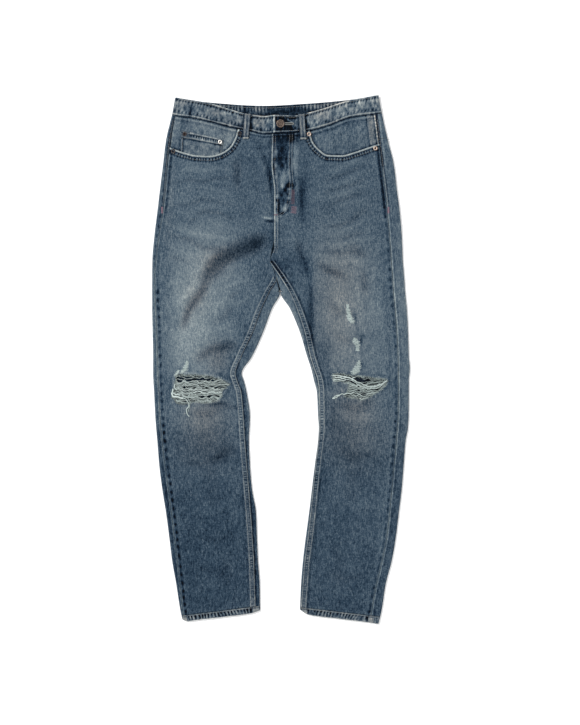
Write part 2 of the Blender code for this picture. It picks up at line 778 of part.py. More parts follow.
def back_loop(name, x):
    """A belt loop under the back of the band: a strap on the ground."""
    top = band_top_back(x)
    half = LOOP_WIDTH / 2.0
    bottom = top - LOOP_LENGTH
    outline = [(x - half, top), (x + half, top), (x + half, bottom), (x - half, bottom)]
    return finish(name, prism_mesh(name, outline, 0.0, WALL), material("denim", DENIM, 0.9))


# Pockets

def facing(side, name):
    """The denim behind a front pocket's mouth."""
    inner = side.mouth[0][0] - FACING_MARGIN
    grid = []
    for share in spread(0.0, 1.0, 7):
        row = []
        for across in spread(0.0, 1.0, 8):
            y = BACK_TOP
            for _ in range(5):
                u = mix(side.outseam(y) - 3.0 * SEAM, inner, across)
                bottom = side.mouth_line(max(u, side.mouth[2][0])) - FACING_DEPTH
                y = mix(waist_seam_front(side.sign * u) - 2.0 * SEAM, bottom, share)
            row.append((side.sign * u, y, facing_face(side, u, y)))
        grid.append(row)
    return cloth(name, grid, LINER_WALL)


def coin_face(u, y):
    """Upper face of the coin pocket: clear of the highest part of the facing near the point."""
    around = (-COIN_NEAR, 0.0, COIN_NEAR)
    near = [facing_face(RIGHT, u + a, y + b) for a in around for b in around]
    return max(near) + CLEAR + LINER_WALL


def coin_pocket():
    """The small pocket sewn on the right facing; its foot goes under the front."""
    grid = []
    for share in spread(0.0, 1.0, 6):
        row = []
        for across in spread(0.0, 1.0, 7):
            u = mix(mix(COIN_TOP[0][0], COIN_BOTTOM[0][0], share),
                    mix(COIN_TOP[1][0], COIN_BOTTOM[1][0], share), across)
            y = mix(mix(COIN_TOP[0][1], COIN_TOP[1][1], across),
                    mix(COIN_BOTTOM[0][1], COIN_BOTTOM[1][1], across), share)
            row.append((RIGHT.sign * u, y, coin_face(u, y)))
        grid.append(row)
    return cloth("coin_pocket", grid, LINER_WALL)


def back_pocket(side, name):
    """A plain patch pocket with a pointed foot, under the seat."""
    points = [(side.sign * u, y) for u, y in BACK_POCKET]
    return finish(name, prism_mesh(name, points, 0.0, WALL), material("denim", DENIM, 0.9))


# Fly

def fly_strip(name, reach, low, wall, strip_material):
    """A flat strip that follows the fly's lap, reach from and to beside its edge."""
    rows = spread(FLY_TOP, FLY_BOTTOM + 12.0, 7)
    near = [(LEFT.front_edge(y) + reach[0], y) for y in rows]
    far = [(LEFT.front_edge(y) + reach[1], y) for y in reversed(rows)]
    return finish(name, prism_mesh(name, near + far, low, low + wall), strip_material)


# Fastenings

def turned(name, profile, x, y, z, colour, roughness):
    """A round piece turned from a profile of (radius, height), top to bottom."""
    mesh = bpy.data.meshes.new(name)
    points = [(r * MM, 0.0, h * MM) for r, h in profile]
    mesh.from_pydata(points, [(i, i + 1) for i in range(len(points) - 1)], [])
    obj = finish(name, mesh, material(name, colour, roughness, 1.0))
    obj.location = (x * MM, y * MM, z * MM)
    screw = obj.modifiers.new("Turn", "SCREW")
    screw.steps = TURN_STEPS
    screw.render_steps = TURN_STEPS
    screw.use_merge_vertices = True
    screw.merge_threshold = 0.00005
    screw.use_smooth_shade = True
    return obj


def waist_button():
    """A tack button: a low cap over the buttonhole and a shank down to the band's under end."""
    shank_top = OVERLAP_FACE - BAND_FACE
    top = shank_top + BUTTON_CAP
    profile = [
        (0.0, top), (BUTTON_RADIUS * 0.55, top),
        (BUTTON_RADIUS * 0.9, top - BUTTON_CAP * 0.2), (BUTTON_RADIUS, top - BUTTON_CAP * 0.55),
        (BUTTON_RADIUS * 0.94, shank_top), (SHANK_RADIUS, shank_top),
        (SHANK_RADIUS, 0.0), (0.0, 0.0),
    ]
    base = BAND_FACE + CLEAR
    return turned("waist_button", profile, BUTTON_X, BUTTON_Y, base, METALS["steel"], 0.35)


def rivet(name, x, y, base, metal):
    """A domed rivet head on the cloth."""
    profile = [
        (0.0, RIVET_HEIGHT), (RIVET_RADIUS * 0.45, RIVET_HEIGHT * 0.9),
        (RIVET_RADIUS * 0.8, RIVET_HEIGHT * 0.6), (RIVET_RADIUS, RIVET_RIM), (RIVET_RADIUS, 0.0),
        (0.0, 0.0),
    ]
    return turned(name, profile, x, y, base + CLEAR, METALS[metal], 0.4)


# Rips

def rip_outline(table, grow):
    """Outline of a rip, moved outward by grow: along its upper edge, then back along its lower."""
    first, last = table[0][0], table[-1][0]
    upper = smooth_line([(x, high) for x, high, low in table])
    lower = smooth_line([(x, low) for x, high, low in table])
    centre = (first + last) / 2.0
    stretch = 1.0 + 2.0 * grow / (last - first)
    xs = spread(first, last, RIP_COLUMNS)
    top = [(centre + (x - centre) * stretch, upper(x) + grow) for x in xs]
    foot = [(centre + (x - centre) * stretch, lower(x) - grow) for x in xs]
    return top, foot


def rip(side, panel, table, name):
    """Cut a rip through a front, and fill its reach with the plain solid of its threads."""
    top, foot = rip_outline(table, RIP_CLEAR)
    cut(panel, name + "_cutter", top + foot[::-1], WALL + CLEAR, CUT_TOP)
    grid = []
    top, foot = rip_outline(table, 0.0)
    for share in spread(0.0, 1.0, 4):
        row = []
        for (x, high), (_, low) in zip(top, foot):
            y = mix(high, low, share)
            row.append((x, y, front_face(side, side.sign * x, y)))
        grid.append(row)
    return cloth(name, grid, WALL, colour=THREAD)


def build():
    for obj in list(bpy.data.objects):
        bpy.data.objects.remove(obj, do_unlink=True)

    front_right = front_panel(RIGHT, "front_right")
    front_left = front_panel(LEFT, "front_left")
    rip(RIGHT, front_right, RIP_RIGHT, "rip_threads_right")
    rip(LEFT, front_left, RIP_LEFT, "rip_threads_left")
    for side, word in ((RIGHT, "right"), (LEFT, "left")):
        back_panel(side, "back_" + word)
        yoke_panel(side, "yoke_" + word)
        hem(side, "hem_" + word)
        facing(side, "pocket_facing_" + word)
        back_pocket(side, "back_pocket_" + word)
    coin_pocket()
    waistband()

    low = SEAT_LIFT + WALL + CLEAR
    denim = material("denim", DENIM, 0.9)
    fly_strip("fly_shield", SHIELD_REACH, low, WALL, denim)
    tape = material("zip_tape", TAPE, 0.8)
    fly_strip("fly_zip", ZIP_REACH, low + WALL + CLEAR, ZIP_WALL, tape)

    for row in FRONT_LOOPS:
        front_loop(*row)
    for name, x in BACK_LOOPS:
        back_loop(name, x)
    waist_button()
    for name, x, y, metal in FRONT_RIVETS:
        side = LEFT if x > 0.0 else RIGHT
        rivet(name, x, y, front_face(side, abs(x), y), metal)
    for name, x, y, metal in COIN_RIVETS:
        rivet(name, x, y, coin_face(-x, y), metal)


build()
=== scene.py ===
"""Looks of a pair of ripped jeans lying flat with the front up.

Tables and sizes are in millimetres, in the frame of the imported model: +X to the wearer's left,
+Y from the hems to the waist, +Z up off the ground. u is the distance outward from the centre.
"""
import math

import bpy
import numpy as np
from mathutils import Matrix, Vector


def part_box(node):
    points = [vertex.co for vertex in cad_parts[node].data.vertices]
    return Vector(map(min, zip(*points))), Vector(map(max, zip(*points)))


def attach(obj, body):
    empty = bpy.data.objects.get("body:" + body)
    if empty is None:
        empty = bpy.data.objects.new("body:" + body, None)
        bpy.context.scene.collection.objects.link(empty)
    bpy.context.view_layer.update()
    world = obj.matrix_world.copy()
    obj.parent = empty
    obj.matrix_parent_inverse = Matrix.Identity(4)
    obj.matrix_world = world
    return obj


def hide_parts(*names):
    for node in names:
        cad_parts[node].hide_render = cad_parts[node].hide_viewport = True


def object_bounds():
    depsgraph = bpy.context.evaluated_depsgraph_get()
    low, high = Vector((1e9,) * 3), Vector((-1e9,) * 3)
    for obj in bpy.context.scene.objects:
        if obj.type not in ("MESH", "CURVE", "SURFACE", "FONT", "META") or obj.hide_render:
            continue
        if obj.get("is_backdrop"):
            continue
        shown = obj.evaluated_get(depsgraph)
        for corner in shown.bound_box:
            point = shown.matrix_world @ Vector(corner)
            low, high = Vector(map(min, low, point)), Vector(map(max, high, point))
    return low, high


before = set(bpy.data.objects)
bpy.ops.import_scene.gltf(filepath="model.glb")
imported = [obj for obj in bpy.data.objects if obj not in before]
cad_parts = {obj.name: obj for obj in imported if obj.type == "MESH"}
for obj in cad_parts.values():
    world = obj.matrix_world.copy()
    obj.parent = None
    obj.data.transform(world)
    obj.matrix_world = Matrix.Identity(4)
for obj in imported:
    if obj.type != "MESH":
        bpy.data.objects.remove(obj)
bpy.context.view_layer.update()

MM = 0.001

# Walls and the lie of the cloth, as in the solids
WALL = 1.2
BAND_WALL = 2.5
HEM_WALL = 2.4
LINER_WALL = 1.0
LOOP_WALL = 1.4
ZIP_WALL = 0.8
SEAM = 0.25
CLEAR = 0.3
SEAT_LIFT = 1.5
SEAT_LIFT_ENDS = (262.0, 225.0)
BODY_HEIGHT = 7.0
LEG_HEIGHT = 6.2
HEIGHT_CHANGE = (270.0, 190.0)
FOLD_REACH = 4.0
EDGE_DROOP = 0.8
DROOP_LENGTH = 16.0
CROSSING = (-21.5, 205.0)
FORK = (-1.5, 139.0)
BAND_HEIGHT = 36.0
BAND_FACE = 7.4
OVERLAP_FACE = 10.3
OVERLAP_RAMP = (24.0, 48.0)
OVERLAP_END = -15.5
UNDERLAP_END = 20.0
SLANTED_FROM = (-190.0, 176.0)            # from here out the band follows the slant of its ends
FLY_TOP = 461.0
FLY_BOTTOM = 300.0
FLY_CHANGE = 22.0
FLY_UNDERLAP = 4.0
FLY_RISE = 0.8
FLY_LAP_WIDTH = 34.0
FLY_LAP_RAMP = 26.0
FELL = 5.5                                # a felled inseam's reach to each side of its middle
FELL_RISE = 1.4
BUTTON = (-1.0, 483.0)
LOOP_WIDTH = 13.6
LOOP_LENGTH = 52.0
LOOP_STEP = (9.0, 2.0)
FACING_DEPTH = 26.0
FACING_RECESS = 2.8
FACING_RAMP = (6.0, 36.0)
FACING_MARGIN = 9.0
END_FADE = 120.0                          # the rows bend to meet a slanted edge over this length
FRONT_TOP = 480.0
BACK_TOP = 436.0
COIN_DEPTH = 60.0
COIN_WIDTH = 84.0
MOUTH_REACH = 18.0                        # the pocket edge shows its stitching this far from the mouth
FOLD_END = 40.0                           # a fold fades out over this length at most
FAR = 60.0                                # distances to a path are measured up to here
AWAY = 99.0                               # stands for a distance at which no line shows

# y, outer fold, outseam, front edge, inner fold
RIGHT_SECTIONS = (
    (540, 216.5, 211.0, 16.0, 1.5), (505, 223.0, 216.5, 17.0, 1.5), (449, 236.0, 226.0, 18.5, 1.5),
    (400, 242.0, 232.0, 19.5, 1.5), (343, 249.0, 237.0, 14.0, 1.5), (301, 254.0, 242.0, 14.0, 1.5),
    (252, 260.0, 250.0, 14.0, 1.5), (205, 264.0, 256.0, 21.5, 1.5), (172, 264.5, 258.5, 11.5, 1.5),
    (139, 264.5, 258.0, 28.0, 1.5), (104, 264.5, 256.5, 44.5, 18.5), (55, 263.5, 254.5, 63.0, 37.0),
    (6, 262.5, 253.0, 86.0, 59.5), (-29, 262.5, 252.0, 98.5, 80.5), (-43, 262.0, 251.5, 95.0, 76.0),
    (-68, 260.5, 250.0, 86.5, 70.0), (-117, 258.0, 248.0, 82.0, 63.5), (-166, 254.0, 243.5, 79.0, 65.5),
    (-215, 250.0, 238.0, 75.0, 63.5), (-264, 244.0, 231.0, 71.0, 59.5), (-314, 236.0, 224.5, 67.0, 51.0),
    (-363, 229.5, 218.5, 63.5, 49.0), (-412, 223.5, 212.5, 60.5, 47.0), (-461, 215.0, 207.0, 59.0, 43.5),
    (-512, 207.0, 201.5, 57.0, 43.0), (-540, 201.0, 196.0, 56.0, 43.0),
)
LEFT_SECTIONS = (
    (540, 200.5, 188.0, -15.5, -1.5), (505, 207.0, 193.0, -17.0, -1.5), (449, 219.5, 200.5, -18.5, -1.5),
    (400, 231.5, 206.5, -19.5, -1.5), (343, 238.5, 214.0, -14.0, -1.5), (301, 244.0, 218.5, -14.0, -1.5),
    (252, 248.0, 223.0, -14.0, -1.5), (230, 249.0, 224.5, -14.5, -1.5), (205, 250.0, 226.5, -21.5, -1.5),
    (198, 250.5, 227.0, -16.8, -1.5), (170, 253.0, 229.0, 3.0, -1.5), (139, 255.0, 231.0, 22.0, -1.5),
    (104, 258.5, 234.0, 37.5, 18.5), (55, 261.0, 238.0, 54.0, 39.0), (6, 262.5, 240.5, 65.0, 53.5),
    (-18, 264.5, 241.0, 72.5, 61.5), (-43, 262.5, 241.0, 80.5, 67.5), (-68, 262.5, 241.0, 83.0, 73.5),
    (-117, 262.0, 240.5, 84.0, 76.0), (-141, 260.5, 239.0, 84.0, 77.5), (-166, 256.0, 237.0, 82.0, 76.0),
    (-215, 252.0, 232.5, 76.0, 69.5), (-264, 248.0, 228.0, 70.5, 63.5), (-314, 242.0, 223.0, 65.5, 57.5),
    (-363, 236.0, 217.5, 60.0, 51.0), (-412, 227.5, 208.0, 53.5, 45.0), (-461, 215.0, 196.5, 49.5, 41.0),
    (-512, 207.0, 187.0, 46.0, 39.0), (-542, 200.5, 182.0, 45.0, 38.5),
)
# x, y
BAND_TOP_FRONT = (
    (-216, 537), (-150, 526), (-103, 512.5), (-77, 505), (-57, 501.5), (-33, 499), (-16, 501), (25, 499.5),
    (50, 504.5), (95, 517), (135, 530), (200, 542),
)
WAIST_SEAM_FRONT = (
    (-222, 501), (-175, 494), (-135, 484.5), (-90, 473.5), (-60, 467.5), (-33, 462.5), (-16, 463.5),
    (33, 466), (55, 469), (100, 481), (141, 496), (173, 501), (206, 505),
)
BAND_TOP_BACK = ((-216, 537), (-150, 527.5), (-33, 520.5), (40, 524), (135, 532), (200, 542))
BAND_SIDES = (-216.0, 200.0)
# u, y
YOKE_SEAM = ((0, 412), (60, 420), (130, 436), (200, 452), (240, 456))
HEM_EDGE_RIGHT = ((43, -514.5), (64, -521), (124, -528.5), (183, -535.5), (191, -537), (203, -533))
HEM_EDGE_LEFT = ((39, -513), (55, -523), (118, -531.5), (183, -539.5), (199, -542), (202, -542))
HEM_SEAM_RIGHT = ((43, -505.5), (203, -525.5))
HEM_SEAM_LEFT = ((39, -508), (202, -527.5))
MOUTH_RIGHT = (
    (87.0, 476), (89.5, 468), (95, 452), (106, 434.5), (126, 422), (146, 417.5), (172, 418.5), (194, 423),
    (222, 432.5), (240, 440),
)
MOUTH_LEFT = (
    (58.0, 472), (60, 463), (65.5, 446), (79.5, 429.5), (95, 419.5), (124, 418.5), (150, 425), (174, 433),
    (193, 439.5), (215, 447),
)
COIN_TOP = ((204, 469.5), (119, 451))
COIN_BOTTOM = ((206, 402), (124, 396))
BACK_POCKET = ((44, 396), (186, 408), (180, 292), (114, 266), (50, 286))
BACK_POCKET_TIP = (-23.0, 0.49)           # drop of the pocket's point, and its place across
# x, y: the buttonhole's creased flap, and the foot of the fly's curved stitching
BUTTONHOLE_FOLD = ((5.0, 498.5), (12.0, 493.0), (17.0, 489.0), (24.0, 484.5))
FLY_CURVE = ((17.0, 345.0), (13.0, 324.0), (6.0, 307.0), (-4.0, 298.0), (-11.0, 295.0))
# node, x at the top, x at the foot, y at the top
FRONT_LOOPS = (
    ("belt_loop_front_right", -68.5, -72.5, 504.0),
    ("belt_loop_front_left", 42.0, 46.0, 503.0),
)
# node, x
BACK_LOOPS = (
    ("belt_loop_back_right", -128.0), ("belt_loop_back_centre", 0.0), ("belt_loop_back_left", 122.0),
)
# node, metal
RIVETS = {
    "rivet_right_waist": "copper", "rivet_right_side": "copper", "rivet_left_waist": "beige",
    "rivet_left_side": "beige", "rivet_coin_outer": "copper", "rivet_coin_inner": "steel",
}
# x, upper edge, lower edge
RIP_RIGHT = (
    (-221, -40, -72), (-213, -28, -79), (-200, -27, -84), (-186, -28.5, -87), (-150, -32, -88),
    (-130, -35, -86), (-121.5, -38.5, -77), (-112, -43, -59), (-104, -47, -51),
)
RIP_LEFT = (
    (107, -32, -46), (121, -31, -59), (135, -32, -73), (146, -33, -80), (160, -35, -76), (182, -37, -66),
    (204, -38, -60), (218, -40, -50),
)
# x, y round each rip's opening
OPENING_RIGHT = (
    (-215.3, -29.7), (-200.9, -30.8), (-186.6, -31.8), (-166.0, -32.8), (-141.5, -34.9), (-125.0, -40.0),
    (-112.8, -47.2), (-103.7, -50.2), (-112.8, -56.4), (-119.9, -64.6), (-121.6, -77.7), (-133.3, -86.1),
    (-155.8, -89.2), (-182.5, -87.1), (-194.8, -91.2), (-213.2, -88.2), (-219.4, -82.0), (-224.5, -76.9),
    (-223.5, -68.7), (-218.3, -58.4), (-217.3, -44.1),
)
OPENING_LEFT = (
    (106.6, -29.7), (121.0, -28.7), (147.6, -33.8), (182.5, -35.9), (217.3, -42.0), (217.3, -48.2),
    (205.0, -62.5), (182.5, -76.9), (166.0, -83.0), (145.6, -78.9), (129.2, -75.9), (135.3, -66.6),
    (139.4, -56.4), (135.3, -46.1), (121.0, -45.1), (106.6, -44.1),
)

# Folds of the upper cloth: width, rise, tone, points. The tone is painted shade in the troughs and painted
# highlight on the ridges, on top of the shading that the rise gives
FOLDS = (
    (18, -2.4, -0.2, ((-27, 262), (-39, 245), (-64, 229), (-94, 220), (-121, 208), (-141, 188),
        (-152, 167), (-160, 146))),
    (9, -1.7, -0.18, ((-146, 180), (-160, 142), (-176, 120), (-189, 100), (-199, 72), (-206, 52))),
    (7, -0.8, -0.04, ((-24, 262), (-36, 249), (-50, 238), (-64, 232))),
    (7, 0.9, 0.06, ((-130, 224), (-154, 206), (-168, 186), (-175, 164))),
    (6, 0.9, 0.08, ((-170, 166), (-186, 146), (-200, 124), (-210, 98))),
    (16, 0.5, 0.02, ((-60, 206), (-106, 188), (-128, 160), (-146, 120))),
    (12, -1.6, -0.13, ((-72, 30), (-115, 26), (-145, 19), (-166, 3), (-184, -14))),
    (8, -1.8, -0.12, ((37, 256), (38, 225), (49, 196), (59, 172), (62, 150))),
    (5, -1.8, -0.11, ((61, 170), (63, 140), (62, 100), (65, 40), (74, 4))),
    (9, -1.2, -0.08, ((62, 204), (100, 184), (131, 169), (146, 157))),
    (7, -0.9, -0.06, ((168, 196), (172, 160), (176, 120))),
    (9, -0.7, -0.05, ((128, 240), (155, 228), (178, 204))),
    (8, -1.0, -0.09, ((-92, 424), (-90, 384), (-90, 340))),
    (7, -0.9, -0.09, ((42, 396), (46, 350), (44, 300), (50, 262))),
    (15, -1.3, -0.02, ((-150, -140), (-142, -240), (-128, -330))),
    (15, -1.2, -0.02, ((150, -120), (156, -220), (140, -320))),
    (12, -1.2, -0.02, ((110, -360), (124, -430), (120, -480))),
    (12, -1.0, -0.02, ((-100, -380), (-112, -440), (-104, -490))),
    (10, -1.2, -0.08, ((-146, -218), (-115, -190), (-84, -178))),
    (10, -1.0, -0.08, ((-170, -84), (-140, -92), (-104, -94))),
)
# Small creases about the fly, the waist and the crotch, with the columns of the folds; their tone is painted
# highlight on the ridges and painted shade in the hollows
SEAT_CREASES = (
    (1.7, 0.4, 0.17, ((-10, 394), (-4, 386), (0, 379))), (1.8, 0.4, 0.17, ((-3, 412), (4, 405), (11, 399))),
    (1.5, 0.3, 0.12, ((-7, 432), (-3, 424), (2, 417))),
    (1.6, 0.3, 0.12, ((-12, 458), (-7, 452), (-4, 444))),
    (2.4, 0.8, 0.26, ((-44, 293), (-30, 290), (-10, 288))),
    (2.6, -0.8, -0.24, ((-38, 287), (-27, 284), (-8, 283))),
    (6.0, -1.0, -0.13, ((3, 468), (5, 436), (3, 408), (-2, 380))),
    (6.0, 0.6, 0.1, ((36, 436), (27, 406), (16, 378), (5, 356))),
    (4.5, 0.7, 0.1, ((16, 440), (11, 405), (5, 372), (0, 346))),
    (4.6, -1.0, -0.2, ((22, 370), (11, 352), (-3, 336))), (3.6, 0.5, 0.08, ((12, 344), (6, 326), (2, 312))),
    (3.0, -0.6, -0.12, ((-8, 300), (0, 300), (10, 303))),
    (5.0, -0.9, -0.09, ((-52, 450), (-40, 429), (-29, 404), (-22, 376), (-20, 340))),
    (4.0, -0.7, -0.12, ((-30, 405), (-24, 380), (-20, 350), (-20, 320))),
    (4.0, 0.5, 0.06, ((-62, 440), (-50, 420), (-38, 396), (-32, 366))),
    (4.0, 0.5, 0.06, ((32, 450), (33, 410), (31, 366))),
    (6.0, -0.8, -0.06, ((12, 202), (22, 170), (30, 150))),
    (6.0, 0.5, 0.03, ((-58, 212), (-96, 196), (-130, 170))),
    (7.0, -0.5, -0.05, ((-8, 462), (20, 462), (44, 462))),
)
# Whiskers across the hips: width, rise, tone, first x, last x, heights there and at the stations between
WHISKER_STATIONS = (-223, -191, -158, -125, -92, 90, 119, 148, 176)
WHISKERS = (
    (4.6, 0.2, 0.06, -237, -81, (377, 380, 393, 388, 391, 388, 388)),
    (4.2, -0.3, -0.04, -237, -81, (357, 360, 368, 364, 372, 372, 372)),
    (4.0, 0.2, 0.02, -237, -81, (346, 347, 354, 354, 345, 360, 364)),
    (4.4, -0.3, -0.03, -237, -81, (314, 315, 317, 329, 321, 315, 313)),
    (3.8, 0.2, 0.03, -237, -81, (303, 302, 300, 315, 309, 304, 303)),
    (4.2, -0.3, -0.05, -205, -81, (270, 278, 304, 300, 284, 279)),
    (3.6, 0.2, 0.04, -205, -114, (295, 294, 292, 288, 287)),
    (5.0, 0.2, 0.08, -237, -81, (279, 276, 263, 255, 251, 247, 246)),
    (5.0, -0.3, -0.05, -237, -81, (255, 253, 247, 227, 227, 220, 219)),
    (5.0, 0.2, 0.03, -237, -147, (224, 222, 218, 206, 202)),
    (5.0, -0.3, -0.03, -237, -179, (213, 210, 200, 197)),
    (4.4, 0.2, 0.06, 76, 187, (380, 382, 391, 407, 425, 431)),
    (4.0, -0.3, -0.04, 76, 187, (363, 366, 376, 386, 401, 405)),
    (4.0, 0.2, 0.04, 76, 187, (354, 356, 362, 374, 391, 395)),
    (4.0, -0.3, -0.04, 76, 187, (342, 343, 350, 358, 372, 376)),
    (4.0, 0.2, 0.04, 76, 187, (327, 329, 337, 345, 358, 361)),
    (4.2, -0.3, -0.04, 76, 187, (304, 309, 325, 335, 343, 346)),
    (4.0, 0.2, 0.04, 105, 187, (315, 317, 321, 331, 334)),
    (5.0, -0.3, -0.05, 76, 187, (271, 272, 274, 286, 311, 318)),
    (4.4, 0.2, 0.03, 76, 187, (260, 259, 257, 272, 294, 301)),
    (4.2, -0.3, -0.03, 105, 187, (242, 245, 255, 263, 266)),
    (4.6, 0.2, 0.05, 76, 187, (235, 235, 235, 243, 247, 248)),
    (4.8, -0.3, -0.05, 76, 187, (224, 222, 218, 220, 210, 207)),
    (5.0, 0.2, 0.05, 76, 187, (203, 202, 198, 206, 188, 182)),
    (5.0, -0.3, -0.06, 76, 130, (183, 181, 175, 173)),
)
# Creases of the legs, with the columns of the folds; their tone is painted highlight on the ridges and
# painted shade in the hollows
LEG_CREASES = (
    (3.4, 0.4, 0.06, ((-55, 168), (-80, 160), (-110, 150), (-128, 140))),
    (3.2, 0.4, 0.05, ((-58, 130), (-76, 122), (-104, 108), (-118, 104))),
    (5.0, -0.5, -0.04, ((-70, 146), (-100, 130), (-118, 120))),
    (10.0, 0.5, 0.03, ((-100, 150), (-130, 110), (-160, 90))),
    (8.0, -0.5, -0.04, ((-88, 118), (-120, 84), (-150, 70))),
    (6.0, 0.5, 0.05, ((-90, 84), (-116, 66), (-140, 60))),
    (10.0, 0.5, 0.03, ((96, 150), (130, 120), (180, 110))),
    (8.0, -0.5, -0.04, ((84, 128), (120, 98), (170, 86))),
    (8.0, -0.5, -0.04, ((100, 60), (130, 40), (180, 36))),
    (8.0, -0.6, -0.05, ((-110, -100), (-150, -112), (-200, -104))),
    (8.0, -0.6, -0.05, ((106, -92), (150, -100), (206, -92))),
    (9.0, 0.5, 0.03, ((-112, -124), (-160, -136), (-214, -128))),
    (9.0, 0.5, 0.03, ((110, -112), (160, -122), (210, -114))),
    (9.0, -0.5, -0.035, ((-100, -190), (-160, -214), (-220, -206))),
    (9.0, -0.5, -0.035, ((100, -180), (150, -200), (214, -190))),
    (8.0, 0.5, 0.03, ((-90, -290), (-140, -312), (-200, -300))),
    (8.0, 0.5, 0.03, ((90, -280), (150, -304), (206, -296))),
    (8.0, -0.5, -0.03, ((-84, -350), (-130, -372), (-190, -360))),
    (8.0, -0.5, -0.03, ((-84, -420), (-130, -436), (-190, -424))),
    (8.0, -0.5, -0.03, ((80, -430), (130, -452), (186, -440))),
)
# Faded and dark areas: x, y, reach across, reach along, tone, warmth. The faded ones are the washed dye; many
# dark ones are painted shade in folds, round the fly and the crotch, and along the edges of the rips and worn
# patches. Warmth is a browner tint, given to painted shade and to some faded places
AREAS = (
    (-178, 85, 62, 150, 0.125, 0.0), (-150, 200, 60, 70, 0.05, 0.1), (-190, 20, 40, 60, 0.05, 0.0),
    (135, 95, 66, 140, 0.075, 0.15), (112, 95, 50, 140, 0.0, 0.65), (128, 190, 50, 60, 0.02, 0.3),
    (-15, 250, 30, 34, -0.06, 0.0), (20, 380, 22, 60, -0.05, 0.0), (-240, 60, 22, 160, -0.035, 0.0),
    (140, 330, 50, 40, 0.01, 0.1), (-150, 330, 60, 60, 0.02, 0.0), (62, 80, 16, 90, -0.06, 0.2),
    (-100, 60, 20, 70, -0.02, 0.0), (-50, 400, 26, 70, -0.04, 0.0), (2, 425, 20, 34, -0.05, 0.0),
    (46, 462, 16, 22, -0.09, 0.1), (37, 388, 14, 30, 0.015, 0.3), (-5, 235, 24, 22, -0.03, 0.0),
    (-232, 330, 12, 90, 0.04, 0.3), (-155, -110, 45, 44, 0.05, 0.9), (150, -95, 45, 44, 0.045, 0.9),
    (150, -240, 60, 110, 0.045, 0.0), (128, -440, 60, 80, 0.02, 0.0), (152, 84, 2.4, 12.0, -0.22, 0.0),
    (167, 48, 5.0, 3.4, -0.18, 0.0), (164, 36, 2.6, 9.0, -0.22, 0.0), (157, 62, 2.2, 5.0, -0.12, 0.0),
    (158, 6, 2.0, 7.0, 0.1, 0.0), (166, -12, 2.4, 9.0, -0.18, 0.0), (140, -30, 6.0, 3.0, -0.16, 0.0),
    (-186, -14, 3.0, 8.0, -0.12, 0.0), (106, -126, 13, 44, -0.055, 0.3), (-100, -178, 26, 22, -0.03, 0.0),
    (-130, 0, 22, 30, -0.03, 0.9), (-135, 200, 26, 24, 0.0, 0.6), (-175, 125, 22, 34, 0.0, 0.4),
    (-120, -91, 16, 3.6, -0.12, 0.4), (-100, -98, 14, 4.0, -0.1, 0.5), (200, -58, 10, 7.0, -0.14, 0.5),
    (124, -30, 12, 2.4, -0.12, 0.0), (176, -84, 12, 5.0, -0.1, 0.5), (-33, 176, 32, 32, -0.085, -0.6),
    (-74, 92, 17, 62, -0.06, -0.5), (-136, 272, 62, 15, 0.045, 0.0), (-112, 226, 26, 12, 0.04, 0.0),
    (-192, 378, 26, 34, 0.04, 0.0), (49, 322, 15, 76, -0.055, -0.3), (8, 318, 13, 18, -0.04, 0.0),
    (90, 316, 18, 22, -0.03, 0.0), (-74, 408, 18, 14, -0.05, 0.0), (213, 346, 14, 34, -0.045, 0.0),
    (213, 140, 15, 30, -0.06, -0.5), (213, -328, 20, 130, 0.045, 0.0), (88, 2, 19, 58, -0.085, 0.0),
    (132, -92, 26, 17, -0.06, 0.0), (172, -90, 18, 10, -0.03, 0.0), (131, -132, 22, 18, -0.03, 0.0),
    (-114, -48, 13, 22, -0.075, 0.0), (-84, -82, 14, 16, -0.04, 0.0), (-238, -132, 15, 20, -0.045, 0.0),
    (-156, -222, 26, 24, 0.045, 0.0), (-84, -210, 16, 100, 0.04, 0.0), (-156, -172, 58, 48, 0.0, 0.8),
    (146, -172, 70, 56, 0.0, 0.8), (8, 188, 14, 17, -0.05, -0.2), (-33, 136, 16, 15, -0.05, -0.3),
    (-74, 48, 12, 26, -0.045, -0.3), (92, -44, 15, 18, -0.08, -0.2), (49, 410, 13, 18, -0.05, -0.4),
    (-122, -42, 9, 18, -0.05, 0.0), (213, -404, 15, 50, 0.05, 0.0), (-118, 205, 30, 14, -0.02, 0.5),
)
# y, tone
BASE_TONE = (
    (-545, 0.265), (-400, 0.27), (-250, 0.285), (-150, 0.335), (-90, 0.39), (0, 0.405), (120, 0.41),
    (230, 0.385), (300, 0.36), (400, 0.355), (545, 0.365),
)
